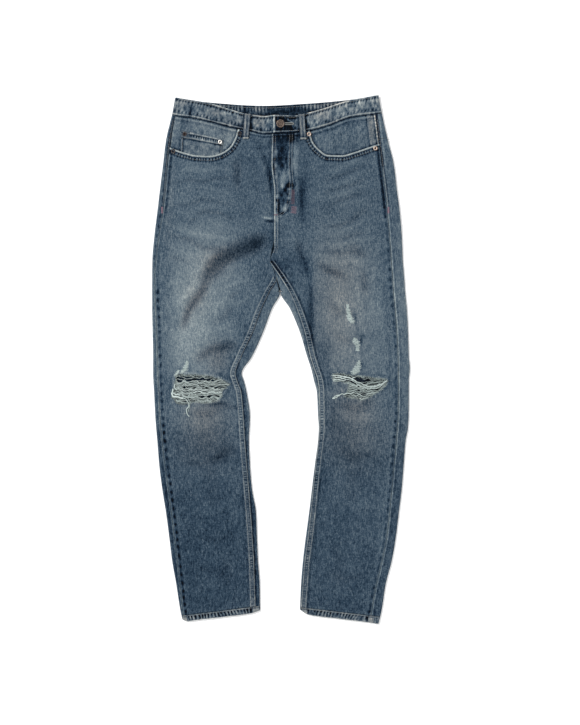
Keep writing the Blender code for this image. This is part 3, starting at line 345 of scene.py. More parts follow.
# Painted highlight and shade of the puckers about the fly: x, y, reach across, reach along, tone
FLY_PUCKER_SHADING = (
    (-10.1, 425.7, 3.1, 6.8, 0.28), (-10.9, 398.4, 3.1, 5.8, 0.28), (-8.9, 379.6, 2.7, 6.8, 0.21),
    (-6.5, 359.1, 3.4, 8.5, 0.19), (-7.5, 335.2, 3.1, 4.4, 0.32), (-7.5, 347.2, 3.4, 3.8, 0.14),
    (-9.9, 316.4, 2.7, 5.8, 0.26), (-10.4, 301.0, 2.7, 5.1, 0.23), (-8.7, 287.4, 3.4, 5.1, 0.18),
    (-13.0, 410.4, 2.7, 3.1, -0.23), (-14.4, 389.9, 1.7, 10.2, -0.23), (-4.4, 415.5, 1.7, 15.4, -0.22),
    (-9.6, 340.3, 4.1, 1.5, -0.21), (-7.9, 326.7, 4.1, 2.4, -0.33), (-4.4, 316.4, 2.0, 8.5, -0.39),
    (-6.2, 304.5, 2.4, 6.8, -0.35), (-15.4, 338.6, 1.4, 20.5, -0.13), (3.0, 418.0, 7.5, 14.0, -0.13),
    (2.0, 396.0, 6.5, 6.5, -0.16), (4.1, 432.6, 10.2, 6.8, -0.09), (12.0, 410.0, 4.0, 12.0, -0.08),
    (8.7, 398.4, 2.7, 2.4, 0.1), (7.5, 372.8, 8.5, 8.5, 0.11), (1.5, 355.7, 4.4, 6.8, 0.21),
    (12.6, 384.7, 5.1, 8.5, 0.1), (14.3, 357.4, 4.1, 4.1, -0.33), (8.4, 347.2, 4.1, 4.4, -0.3),
    (1.5, 336.9, 3.8, 4.1, -0.3), (5.0, 326.7, 4.4, 8.5, -0.25), (22.9, 357.4, 6.8, 4.4, -0.21),
    (16.1, 348.9, 3.8, 1.9, 0.32), (14.0, 338.6, 2.4, 3.4, -0.3), (18.1, 340.3, 2.4, 3.4, 0.18),
    (16.4, 330.9, 3.4, 1.9, 0.32), (13.0, 323.2, 2.4, 3.1, -0.3), (20.3, 323.2, 2.7, 3.4, 0.12),
    (8.4, 309.6, 4.1, 5.1, 0.32), (14.3, 306.2, 2.7, 5.1, -0.3), (8.4, 319.8, 2.0, 2.4, 0.16),
    (-1.0, 314.7, 2.4, 3.4, 0.25), (4.1, 299.3, 5.1, 2.4, -0.26), (-1.0, 293.3, 2.7, 2.7, 0.21),
    (11.8, 297.6, 2.0, 2.0, 0.18), (24.6, 335.2, 2.4, 13.7, -0.11), (32.3, 386.5, 4.4, 18.8, 0.1),
    (34.0, 432.6, 1.7, 12.0, 0.14), (40.8, 335.2, 4.1, 23.9, -0.07), (0.7, 451.4, 20.5, 6.8, -0.13),
    (24.0, 452.0, 9.0, 12.0, -0.24), (38.0, 458.0, 8.0, 7.0, -0.12),
)
# Lines along an edge: strength, place, width
FELL_LINES = (
    (0.20, 1.0 - FELL, 1.3), (0.19, FELL - 1.2, 1.3), (-0.15, -2.2, 1.3), (-0.12, 2.2, 1.2),
    (-0.11, FELL + 2.4, 2.2),
)
FLY_EDGE_LINES = ((0.15, 7.0, 1.3), (-0.06, 3.8, 1.4), (-0.08, 10.0, 2.0))
# the light and dark lines along the fly's stitched rows are painted highlight and shade of their puckers
FLY_ROW_LINES = (
    (0.17, 35.2, 1.6), (0.15, 41.2, 1.6), (0.14, 46.5, 3.0),
    (-0.18, 38.2, 1.4), (-0.17, 43.8, 1.4), (-0.11, 31.5, 2.8),
)
# the dark line at the band's foot is painted shadow along its lower edge
BAND_FOOT_LINES = ((-0.14, 5.6, 1.2), (0.19, 3.4, 1.2), (-0.28, 0.3, 1.5))
HEM_LINES = ((0.12, 0.6, 1.6), (-0.10, 3.2, 1.3))
# the dark line at a facing's top is painted shadow under the waistband
FACING_TOP_LINES = ((-0.24, 0.5, 2.6), (0.13, 4.6, 2.0), (-0.08, 9.0, 2.4))
COIN_TOP_LINES = ((0.20, 1.2, 1.5), (-0.22, 4.4, 1.6), (0.20, 10.4, 1.4), (-0.28, 13.6, 1.6))
COIN_SIDE_LINES = ((0.12, 0.8, 1.4), (-0.24, 3.8, 1.9))
# the dark lines are painted shade on a loop's rounded sides, deeper on its right, and in its middle crease
LOOP_LINES = (
    (-0.16, 0.1, 0.22), (0.10, -0.5, 0.26), (0.10, 0.6, 0.18), (-0.26, -1.0, 0.2), (-0.34, 1.0, 0.24),
)


# Lines, curves and noise

def smooth_line(points):
    """A smooth line through (position, value) pairs that does not overshoot between them."""
    at, value = np.array(sorted(points), float).T
    step = np.diff(at)
    rise = np.diff(value) / step
    both = rise[:-1] * rise[1:]
    total = np.where(both > 0.0, rise[:-1] + rise[1:], 1.0)
    slope = np.concatenate([rise[:1], np.where(both > 0.0, 2.0 * both / total, 0.0), rise[-1:]])

    def read(position):
        position = np.clip(np.asarray(position, float), at[0], at[-1])
        i = np.clip(np.searchsorted(at, position) - 1, 0, len(step) - 1)
        s = (position - at[i]) / step[i]
        return (
            value[i] * (1 + 2 * s) * (1 - s) ** 2
            + slope[i] * step[i] * s * (1 - s) ** 2
            + value[i + 1] * s * s * (3 - 2 * s)
            + slope[i + 1] * step[i] * s * s * (s - 1)
        )

    return read


def route(points, smooth=False):
    """Length of a run of points, and a function that gives x and y at a distance along it."""
    points = np.asarray(points, float)
    run = np.concatenate([[0.0], np.cumsum(np.hypot(*np.diff(points, axis=0).T))])

    def at(distance):
        if smooth:
            return [smooth_line(list(zip(run, values)))(distance) for values in points.T]
        return [np.interp(distance, run, values) for values in points.T]

    return run[-1], at


def ease(value, start, end):
    """0 before start, 1 past end, and a soft step between; start may be above end."""
    t = np.clip((np.asarray(value, float) - start) / (end - start), 0.0, 1.0)
    return t * t * (3.0 - 2.0 * t)


def mix(a, b, t):
    return a + (b - a) * t


def bell(distance, width):
    """1 at no distance, falling softly to nothing at about twice the width."""
    return np.exp(-((distance / width) ** 2))


def bands(distance, lines):
    """Sum of soft lines along an edge; each has its strength, its place and its width."""
    return sum(strength * bell(distance - place, width) for strength, place, width in lines)


def patch(x, y, px, py, across, along):
    """A soft round patch, 1 in its middle, with a reach each way."""
    return np.exp(-(((x - px) / across) ** 2) - ((y - py) / along) ** 2)


def noise(x, y, cell, seed):
    """Smooth noise from -1 to 1; cell is its size, or (size across, size along)."""
    table = np.random.RandomState(seed).uniform(-1.0, 1.0, (64, 64))
    across, along = cell if isinstance(cell, tuple) else (cell, cell)
    gx, gy = np.asarray(x, float) / across + 640.0, np.asarray(y, float) / along + 640.0
    ix, iy = np.floor(gx).astype(int), np.floor(gy).astype(int)
    fx, fy = gx - ix, gy - iy
    sx, sy = fx * fx * (3.0 - 2.0 * fx), fy * fy * (3.0 - 2.0 * fy)
    a, b = table[ix % 64, iy % 64], table[(ix + 1) % 64, iy % 64]
    c, d = table[ix % 64, (iy + 1) % 64], table[(ix + 1) % 64, (iy + 1) % 64]
    return mix(mix(a, b, sx), mix(c, d, sx), sy)


def dashes(along, period, seed):
    """Uneven waves from 0 to 1 along a seam."""
    shift = 0.32 * noise(along, np.zeros_like(along), period * 2.3, seed)
    wave = 0.5 + 0.5 * np.sin(2.0 * math.pi * (along / period + shift))
    strength = 0.85 + 0.25 * noise(along, np.zeros_like(along), period * 3.1, seed + 7)
    return np.clip(wave * strength, 0.0, 1.0)


def nearest(x, y, path):
    """Distance to a run of straight pieces, length along it to there, its whole length, the point."""
    x, y = np.asarray(x, float), np.asarray(y, float)
    best = np.full(np.broadcast(x, y).shape, 1e9)
    along, px, py = np.zeros_like(best), np.zeros_like(best), np.zeros_like(best)
    run = 0.0
    for (ax, ay), (bx, by) in zip(path[:-1], path[1:]):
        dx, dy = bx - ax, by - ay
        length = math.hypot(dx, dy)
        if length < 1e-9:
            continue
        t = np.clip(((x - ax) * dx + (y - ay) * dy) / length ** 2, 0.0, 1.0)
        gap = np.hypot(x - ax - dx * t, y - ay - dy * t)
        closer = gap < best
        best = np.where(closer, gap, best)
        along = np.where(closer, run + length * t, along)
        px, py = np.where(closer, ax + dx * t, px), np.where(closer, ay + dy * t, py)
        run += length
    return best, along, run, (px, py)


def close_to(x, y, path, reach):
    """Which points lie in the box round a path, grown by reach."""
    xs, ys = zip(*path)
    return (x > min(xs) - reach) & (x < max(xs) + reach) & (y > min(ys) - reach) & (y < max(ys) + reach)


def near_path(u, y, path):
    """Distance to a path and length along it, FAR and 0 where the point is further away than that."""
    u, y = np.broadcast_arrays(np.asarray(u, float), np.asarray(y, float))
    gap, along = np.full(u.shape, FAR), np.zeros(u.shape)
    near = close_to(u, y, path, FAR)
    if near.any():
        gap[near], along[near] = nearest(u[near], y[near], path)[:2]
    return gap, along


def rip_outline(table):
    """Closed smooth outline of a rip."""
    upper = smooth_line([(x, high) for x, high, low in table])
    lower = smooth_line([(x, low) for x, high, low in table])
    xs = np.linspace(table[0][0], table[-1][0], 24)
    top = list(zip(xs, upper(xs)))
    return top + list(zip(xs[::-1], lower(xs[::-1]))) + [top[0]]


class Side:
    """One half of the garment, with a smooth line down its length for each table column."""

    def __init__(self, word, sign, sections, hem_edge, hem_seam, mouth, rip, opening, inseam_top, tongue_top):
        self.word, self.sign = word, sign
        self.inseam_top, self.tongue_top = inseam_top, tongue_top
        lines = [smooth_line([(row[0], row[k]) for row in sections]) for k in range(1, 5)]
        self.outer, self.outseam, self.front_line, self.inner = lines
        self.hem_edge, self.hem_ends = smooth_line(hem_edge), hem_seam
        self.hem_level = (hem_seam[0][1] + hem_seam[1][1]) / 2.0
        self.mouth, self.mouth_line = mouth, smooth_line(mouth)
        us = np.linspace(mouth[0][0], mouth[-1][0], 48)
        self.mouth_path = list(zip(us, self.mouth_line(us)))
        self.rip_path, self.opening = rip_outline(rip), list(opening)

    def hem_seam(self, u):
        (near, start), (far, end) = self.hem_ends
        return mix(start, end, (u - near) / (far - near))

    def seat_seam(self, y):
        return self.sign * mix(FORK[0], CROSSING[0], (y - FORK[1]) / (CROSSING[1] - FORK[1]))

    def front_edge(self, y):
        between = (y > self.inseam_top) & (y < CROSSING[1])
        return np.where(between, self.seat_seam(y), self.front_line(y))


RIGHT = Side("right", -1.0, RIGHT_SECTIONS, HEM_EDGE_RIGHT, HEM_SEAM_RIGHT, MOUTH_RIGHT,
             RIP_RIGHT, OPENING_RIGHT, 172.0, 165.0)
LEFT = Side("left", 1.0, LEFT_SECTIONS, HEM_EDGE_LEFT, HEM_SEAM_LEFT, MOUTH_LEFT,
            RIP_LEFT, OPENING_LEFT, 205.0, 198.0)
SIDES = (RIGHT, LEFT)

band_top_front = smooth_line(BAND_TOP_FRONT)
waist_seam_front = smooth_line(WAIST_SEAM_FRONT)
band_top_back = smooth_line(BAND_TOP_BACK)
yoke_seam = smooth_line(YOKE_SEAM)
base_tone = smooth_line(BASE_TONE)


def whisker(width, rise, tone, first, last, heights):
    """A whisker as a crease, with its points at the stations between its ends."""
    stations = [x for x in WHISKER_STATIONS if first < x < last]
    return width, rise, tone, tuple(zip([first] + stations + [last], heights))


CREASES = FOLDS + SEAT_CREASES + tuple(whisker(*row) for row in WHISKERS) + LEG_CREASES


# Heights

def fold_relief(x, y):
    """Rise of the upper cloth from its folds, creases and whiskers, and their tone: the whiskers' fades, and
    painted shade in the hollows and painted highlight on the ridges of the folds and creases.
    """
    x, y = np.broadcast_arrays(np.asarray(x, float), np.asarray(y, float))
    rise, tone = np.zeros(x.shape), np.zeros(x.shape)
    for width, height, shade, path in CREASES:
        near = close_to(x, y, path, 3.2 * width)
        if not near.any():
            continue
        px, py = x[near], y[near]
        gap, along, length, _ = nearest(px, py, path)
        end = min(FOLD_END, length / 2.5)
        wander = 1.0 + 0.25 * noise(px, py, 30.0, 5)
        share = ease(along, 0.0, end) * ease(length - along, 0.0, end) * bell(gap, width * wander)
        rise[near] += height * share
        tone[near] += shade * share
    return rise, tone


def ground_lift(y):
    """Height of the cloth's underside: the seat stands on the pockets and loops."""
    return SEAT_LIFT * (1.0 - ease(y, *SEAT_LIFT_ENDS))


def lowest_face(y):
    """The upper cloth's outer face where it lies right down on the back."""
    return ground_lift(y) + 2.0 * WALL + CLEAR


def upper_face(side, u, y):
    """Height of the upper cloth's outer face."""
    x = side.sign * u
    height = mix(BODY_HEIGHT, LEG_HEIGHT, ease(y, *HEIGHT_CHANGE))
    to_inner = np.hypot(u - side.inner(y), np.maximum(0.0, y - FORK[1]))
    room = np.maximum(np.minimum(side.outer(y) - u, to_inner) - FOLD_REACH, 0.0)
    height = height - EDGE_DROOP * np.exp(-room / DROOP_LENGTH) + fold_relief(x, y)[0]
    waves = 0.32 * noise(x, y, (34.0, 52.0), 1) + 0.16 * noise(x, y, 15.0, 2)
    return np.maximum(height + ease(room, 0.0, 14.0) * waves, lowest_face(y) + CLEAR)


def front_plain(side, u, y):
    """Upper face of a front panel, with the left one lapped over the right at the fly."""
    from_edge = u - side.front_edge(y)
    if side is LEFT:
        lap = FLY_RISE * (1.0 - ease(from_edge, FLY_LAP_WIDTH, FLY_LAP_WIDTH + FLY_LAP_RAMP))
    else:
        lap = -(FLY_RISE + CLEAR) * (1.0 - ease(from_edge, 0.0, FLY_LAP_RAMP))
    return upper_face(side, u, y) + lap * ease(y, FLY_BOTTOM - FLY_CHANGE, FLY_BOTTOM)


def fell_share(side, y):
    return ease(y, side.inseam_top + 4.0, side.inseam_top - 14.0)


def fell_height(side, u, y):
    """Rise of the felled inseam, with its puckers."""
    gap = u - side.front_line(y)
    flat = 1.0 - ease(gap, FELL + 0.5, FELL + 4.0)
    lip = 1.0 - 0.5 * bell(gap + FELL, 0.9)
    bumps = 0.30 * bell(gap, 3.4) * (dashes(y, 6.2, 31) - 0.5)
    return fell_share(side, y) * flat * (FELL_RISE * lip + bumps)


def front_height(side, u, y):
    """The front's outer face in full: laps, felled seams, pocket edge and puckers."""
    x = side.sign * u
    height = front_plain(side, u, y) + fell_height(side, u, y)
    gap = np.clip(side.outseam(y) - u, 0.0, None)
    height = height + bands(gap, ((0.55, 5.0, 3.0), (-0.5, 0.0, 1.1)))
    height = height + 0.35 * bell(gap - 5.0, 3.6) * (dashes(y, 15.0, 41) - 0.5)
    to_mouth, run = near_path(u, y, side.mouth_path)
    height = height + 0.55 * ease(to_mouth, 11.5, 8.5) - 0.55 * bell(to_mouth, 0.9)
    height = height + 0.28 * bell(to_mouth - 6.0, 3.0) * (dashes(run, 5.6, 43) - 0.5)
    if side is LEFT:
        edge = u - side.front_edge(y)
        height = height + ease(y, 232.0, 262.0) * (0.35 * ease(edge, 12.0, 8.0) - 0.5 * bell(edge, 0.9))
        ripple = noise(x, y, (9.0, 13.0), 51) * ease(edge, 40.0, 20.0)
        height = height + 0.35 * ripple * ease(y, 300.0, 330.0)
    height = height + 0.7 * np.exp(-near_path(x, y, side.rip_path)[0] / 5.0)
    height = height - 0.5 * bell(waist_seam_front(x) - y, 1.4)
    return np.maximum(height, lowest_face(y) + 0.1)


def band_face(x):
    """Height of the waistband's face, raised where its left end laps over the right."""
    return mix(OVERLAP_FACE, BAND_FACE, ease(x, *OVERLAP_RAMP))


def facing_height(side, u, y):
    """Outer face of the facing: low at the mouth and behind the front, and higher up in the corner."""
    in_corner = (u >= side.mouth[0][0]) & (y >= side.mouth_line(u))
    depth = np.where(in_corner, near_path(u, y, side.mouth_path)[0], 0.0)
    recess = mix(FACING_RECESS, CLEAR, ease(depth, *FACING_RAMP))
    lowest = ground_lift(y) + WALL + CLEAR + LINER_WALL
    return np.maximum(front_plain(side, u, y) - recess, lowest + CLEAR / 3.0)


def coin_height(u, y):
    """Face of the coin pocket, clear of the facing's highest places near each point."""
    around = (-7.0, 0.0, 7.0)
    near = [facing_height(RIGHT, u + a, y + b) for a in around for b in around]
    return np.max(near, axis=0) + CLEAR + LINER_WALL


def loop_height(side, x, y):
    """Face of a front belt loop, which steps from the band down to the front."""
    on_band = band_face(x) if side is LEFT else BAND_FACE
    on_front = front_plain(side, side.sign * x, y)
    seam = waist_seam_front(x)
    return mix(on_front, on_band, ease(y, seam - LOOP_STEP[0], seam - LOOP_STEP[1])) + CLEAR + LOOP_WALL


# Tone and warmth of the dye

def cloth_tone(x, y):
    """Tone of the washed dye: what the middle of the cloth shows, with its fades, and painted shade and
    highlight for its folds; the painted shade is given a browner tint.
    """
    tone, warm = base_tone(y), np.zeros(np.shape(x))
    for *place, amount, warmth in AREAS:
        share = patch(x, y, *place)
        tone = tone + amount * share
        warm = warm + warmth * share
    shade = fold_relief(x, y)[1]
    # the painted shade of the folds and creases gets a browner tint
    warm = warm + np.clip(-shade * 7.0, 0.0, 1.3)
    hips = ease(y, 150.0, 260.0)
    tone = tone + shade + 0.02 * noise(x, y, 42.0, 61) + 0.015 * noise(x, y, 17.0, 62)
    tone = tone + hips * 0.014 * noise(x + 0.5 * y, y - 0.2 * np.abs(x), (46.0, 11.0), 64)
    tone = tone + (1.0 - hips) * 0.014 * noise(x, y, (7.0, 46.0), 65)
    return tone, np.clip(warm, 0.0, 1.8)


def outseam_tone(side, gap, y):
    """Dark spots and worn lines of a front along its outseam; gap is the distance in from it."""
    hip = ease(y, 285.0, 325.0)
    low_leg = ease(y, -200.0, -360.0)
    spots = dashes(y, 17.0 if side is RIGHT else 18.0, 41) ** 1.6
    if side is RIGHT:
        depth = mix(0.40, 0.46, ease(y, -250.0, -380.0)) * ease(y, 165.0, 125.0)
        dark = mix(0.04 + depth * spots, 0.16 + 0.10 * spots, hip)
    else:
        depth = 0.25 * (0.8 + 0.4 * noise(y, y, 31.0, 68))
        dark = mix(0.03 + depth * spots, 0.25 + 0.06 * spots, hip)
    worn = (0.18 + 0.06 * low_leg) * (0.7 + 0.3 * noise(y, y, 26.0, 58))
    tone = worn * bell(gap - 0.6, 1.5) + 0.05 * bell(gap - 10.0, 3.0)
    tone = tone - 0.05 * ease(gap, 34.0, 8.0) * ease(np.abs(y - 110.0), 260.0, 160.0)
    return tone - dark * bell(gap - 5.2, mix(3.3, 2.7, low_leg))


def inseam_tone(side, edge, y):
    """Lines of the felled inseam, with painted highlight on its flank toward the light and painted shade on
    the other; edge is the distance out from its middle.
    """
    thigh = ease(y, -70.0, 20.0)
    if side is RIGHT:
        shaded = -0.44 * thigh * bell(edge + FELL - 0.4, 1.5) - 0.10 * ease(y, 40.0, 110.0) * bell(edge, 3.0)
    else:
        knots = 0.7 + 0.6 * dashes(y, 5.4, 67)
        shaded = -0.30 * knots * ease(y, 134.0, 156.0) * bell(edge - 0.4, 2.7)
        shaded = shaded + 0.22 * ease(y, 140.0, 160.0) * bell(edge + FELL - 0.8, 1.5)
        shaded = shaded + 0.10 * ease(y, 150.0, 170.0) * bell(edge - FELL + 1.0, 1.4)
        shaded = shaded - 0.10 * thigh * bell(edge - FELL - 2.4, 2.0)
    lines = bands(edge, FELL_LINES) + (0.06 + 0.07 * ease(y, -200.0, -360.0)) * bell(edge, 6.0)
    return shaded + lines * (0.8 + 0.4 * noise(y, y, 14.0, 59))


def fly_tone(x, y, edge):
    """Edge, stitch rows and puckers of the left front's lap, with painted highlight and shade for the puckers
    and a painted shadow under the waistband; edge is the distance in from its edge.
    """
    fly, lap = ease(y, 225.0, 250.0), ease(y, 295.0, 320.0)
    tone = fly * (0.36 * bell(edge - 0.5, 1.8) + (1.0 - lap) * bands(edge, FLY_EDGE_LINES))
    tone = tone + lap * (0.06 * dashes(y, 11.0, 47) - 0.08) * bell(edge - 6.8, 3.2)
    tone = tone - lap * (0.10 * bell(edge - 12.6, 2.0) + 0.14 * bell(edge - 3.2, 1.2))
    uneven = 0.75 + 0.5 * noise(x, y, (9.0, 16.0), 56)
    tone = tone + ease(y, 330.0, 350.0) * uneven * bands(edge, FLY_ROW_LINES)
    tone = tone + lap * 0.10 * noise(x, y, (5.0, 12.0), 52) * ease(edge, 56.0, 44.0)
    tone = tone - lap * 0.03 * ease(edge, 26.0, 32.0) * ease(edge, 60.0, 52.0)
    # painted shadow under the waistband
    tone = tone - lap * 0.14 * ease(y, 438.0, 456.0) * ease(edge, 56.0, 40.0)
    tone = tone + 0.10 * bell(near_path(x, y, FLY_CURVE)[0], 5.0) * noise(x, y, 4.4, 54)
    for *place, amount in FLY_PUCKER_SHADING:
        tone = tone + amount * patch(x, y, *place)
    return tone


def front_tone(side, u, y):
    """Tone and warmth of a front, with the lines along its seams, fly, waist, rip and hem, and painted shadow
    beside the fly's lap and under the waistband.
    """
    x = side.sign * u
    tone, warm = cloth_tone(x, y)
    edge = u - side.front_line(y)
    if side is LEFT:
        crotch = ease(y, 10.0, 40.0) * ease(y, 235.0, 200.0) * ease(x, 72.0, 58.0)
        tone, warm = tone - 0.07 * crotch, warm * (1.0 - crotch)
        tone = tone + fly_tone(x, y, edge)
    else:
        # painted shadow of the left front's lap on the right front, beside the fly
        tone = tone - 0.06 * ease(y, 225.0, 250.0) * bell(edge - 4.0, 5.0)
    leg = ease(y, side.inseam_top + 3.0, side.inseam_top - 4.0)
    tone = tone + outseam_tone(side, side.outseam(y) - u, y) + leg * inseam_tone(side, edge, y)
    warm = np.maximum(warm, leg * (0.3 + 0.5 * ease(y, -200.0, -360.0)) * bell(edge, 7.0))
    beside_fly = ease(y, 265.0, 290.0) * ease(y, 452.0, 438.0) * ease(np.abs(x), 80.0, 60.0)
    fly_top = ease(y, 436.0, 452.0) * ease(np.abs(x - 8.0), 34.0, 24.0)
    warm = np.maximum(warm * (1.0 - 0.85 * beside_fly), 0.6 * fly_top)
    top = waist_seam_front(x) - y
    # painted shadow just under the waistband's edge
    tone = tone - 0.17 * bell(top - 0.3, 1.5) + 0.05 * bell(top - 10.0, 2.4)
    tone = tone + 0.17 * bell(top - 3.2, 1.2) * (0.5 + 0.5 * dashes(x, 6.0, 53))
    tone = tone - 0.15 * bell(top - 6.4, 1.7) * (0.5 + 0.5 * dashes(x, 6.0, 57))
    to_rip = near_path(x, y, side.rip_path)[0]
    ragged = 0.5 + 0.5 * noise(x, y, 3.2, 63)
    tone = tone + 0.14 * bell(to_rip, 2.2) * ragged - 0.05 * bell(to_rip - 5.0, 4.0)
    to_hem = y - side.hem_seam(u)
    tone = tone + 0.07 * bell(to_hem - 3.0, 3.0) * dashes(x + y, 8.0, 55) - 0.05 * bell(to_hem, 1.4)
    return tone, warm


def front_marks(side, u, y):
    """Strength of the inseam's puckers, which the denim paints as light and shade, and place beside and along
    the pocket mouth.
    """
    edge = u - side.front_line(y)
    strong = 0.55 + 0.45 * noise(y, y, 40.0, 60)
    beads = 0.22 * strong * fell_share(side, y) * bell(edge, 2.8)
    to_mouth, run = near_path(u, y, side.mouth_path)
    close = np.clip(1.0 - to_mouth / MOUTH_REACH, 0.0, 1.0)
    return ("beads", beads), ("mouth", close), ("mouth_run", run * MM)


# Materials

def srgb(r, g, b):
    """A linear colour from 0 to 255 display values."""
    def linear(c):
        c /= 255.0
        return c / 12.92 if c <= 0.04045 else ((c + 0.055) / 1.055) ** 2.4
    return linear(r), linear(g), linear(b), 1.0


class Tree:
    """Short calls for building a material's nodes."""

    def __init__(self, name):
        self.material = bpy.data.materials.new(name)
        self.material.use_nodes = True
        self.nodes, self.links = self.material.node_tree.nodes, self.material.node_tree.links
        self.shader = self.nodes["Principled BSDF"]

    def put(self, value, socket):
        if isinstance(value, bpy.types.NodeSocket):
            self.links.new(value, socket)
        else:
            socket.default_value = value

    def fill(self, node, inputs):
        """Set or link a node's inputs, from a dict by name or a list in order."""
        named = inputs.items() if isinstance(inputs, dict) else enumerate(inputs)
        for key, value in named:
            self.put(value, node.inputs[key])

    def node(self, kind, inputs=(), **settings):
        made = self.nodes.new("ShaderNode" + kind)
        for key, value in settings.items():
            setattr(made, key, value)
        self.fill(made, inputs)
        return made

    def math(self, operation, *values):
        return self.node("Math", values, operation=operation).outputs[0]

    def attribute(self, name):
        return self.node("Attribute", attribute_name=name).outputs["Fac"]

    def place(self, scale=(1.0, 1.0, 1.0), turn=0.0):
        """The object's own space, in metres, scaled and turned round z."""
        space = self.node("TexCoord").outputs["Object"]
        inputs = {"Scale": scale, "Rotation": (0.0, 0.0, turn), "Vector": space}
        return self.node("Mapping", inputs).outputs["Vector"]

    def noise(self, scale, detail=2.0, roughness=0.55, turn=0.0):
        """Noise in the object's own space; scale is waves a metre along x, y and z."""
        scale = scale if isinstance(scale, tuple) else (scale, scale, scale)
        inputs = {"Scale": 1.0, "Detail": detail, "Roughness": roughness, "Vector": self.place(scale, turn)}
        return self.node("TexNoise", inputs).outputs["Fac"]

    def waves(self, scale, turn, distortion=1.0):
        """Straight waves across the object, turned round z."""
        inputs = {"Scale": scale, "Distortion": distortion, "Detail Scale": 3.0,
                  "Vector": self.place(turn=turn)}
        return self.node("TexWave", inputs).outputs["Fac"]

    def length_down(self):
        """The object's own y, in metres."""
        return self.node("SeparateXYZ", [self.node("TexCoord").outputs["Object"]]).outputs["Y"]

    def pulse(self, run, period, shift):
        """Uneven waves from -1 to 1 along a length in metres."""
        inputs = {"Scale": 0.45 / period, "Detail": 1.0, "W": self.math("ADD", run, shift)}
        wander = self.node("TexNoise", inputs, noise_dimensions="1D").outputs["Fac"]
        wander = self.math("MULTIPLY", wander, 9.0)
        return self.math("SINE", self.math("MULTIPLY_ADD", run, 2.0 * math.pi / period, wander))

    def ramp(self, factor, stops):
        made = self.node("ValToRGB", [factor])
        elements = made.color_ramp.elements
        while len(elements) < len(stops):
            elements.new(0.5)
        for element, (place, colour) in zip(elements, stops):
            element.position, element.color = place, colour
        return made.outputs["Color"]

    def profile(self, close, reach, stops):
        """Plain and dashed tone beside a seam: stops are (distance in mm, plain, dashed)."""
        colours = [(1.0 - far / reach, (0.5 + plain, 0.5 + dashed, 0.0, 1.0))
                   for far, plain, dashed in reversed(stops)]
        split = self.node("SeparateColor", [self.ramp(close, colours)])
        return [self.math("SUBTRACT", split.outputs[i], 0.5) for i in (0, 1)]

    def blend(self, factor, a, b, kind="MIX"):
        inputs = {"Factor": factor, "A": a, "B": b}
        return self.node("Mix", inputs, data_type="RGBA", blend_type=kind).outputs["Result"]

    def bump(self, height, strength, distance, after=None):
        inputs = {"Strength": strength, "Distance": distance, "Height": height}
        if after is not None:
            inputs["Normal"] = after
        return self.node("Bump", inputs).outputs["Normal"]


DYE = [
    (0.00, srgb(0, 3, 8)), (0.10, srgb(1, 14, 30)), (0.14, srgb(5, 25, 42)), (0.22, srgb(30, 47, 63)),
    (0.30, srgb(48, 65, 80)), (0.38, srgb(66, 81, 94)), (0.50, srgb(94, 107, 115)),
    (0.64, srgb(128, 138, 141)), (0.80, srgb(166, 173, 172)), (0.95, srgb(201, 204, 200)),
]
# Edge of a pocket mouth: distance, plain tone, tone of its puckers. The light edge is wear; the dark band
# inside it and the puckers' light and dark are painted shade and highlight of the stitched cloth
MOUTH_PROFILE = (
    (0.0, 0.30, 0.04), (1.2, 0.40, 0.02), (2.8, 0.32, 0.0), (3.7, 0.0, 0.0), (4.5, -0.22, 0.0),
    (5.6, -0.18, 0.08), (6.8, -0.11, 0.20), (8.4, -0.10, 0.25), (9.8, -0.15, 0.20), (11.0, -0.21, 0.10),
    (12.4, -0.12, 0.07), (15.0, 0.02, 0.0), (17.9, 0.0, 0.0),
)
# a browner tint for the washed dye and for painted shade in folds
WARM_DYE_AND_SHADE = (1.24, 0.97, 0.84, 1.0)
BARE_WEFT = srgb(92, 100, 104)
INSEAM_PULSE = (0.0054, 3.0)              # period in metres, and shift
MOUTH_PULSE = (0.0057, 9.0)
RIB = 520.0                               # twill ribs, as waves a metre


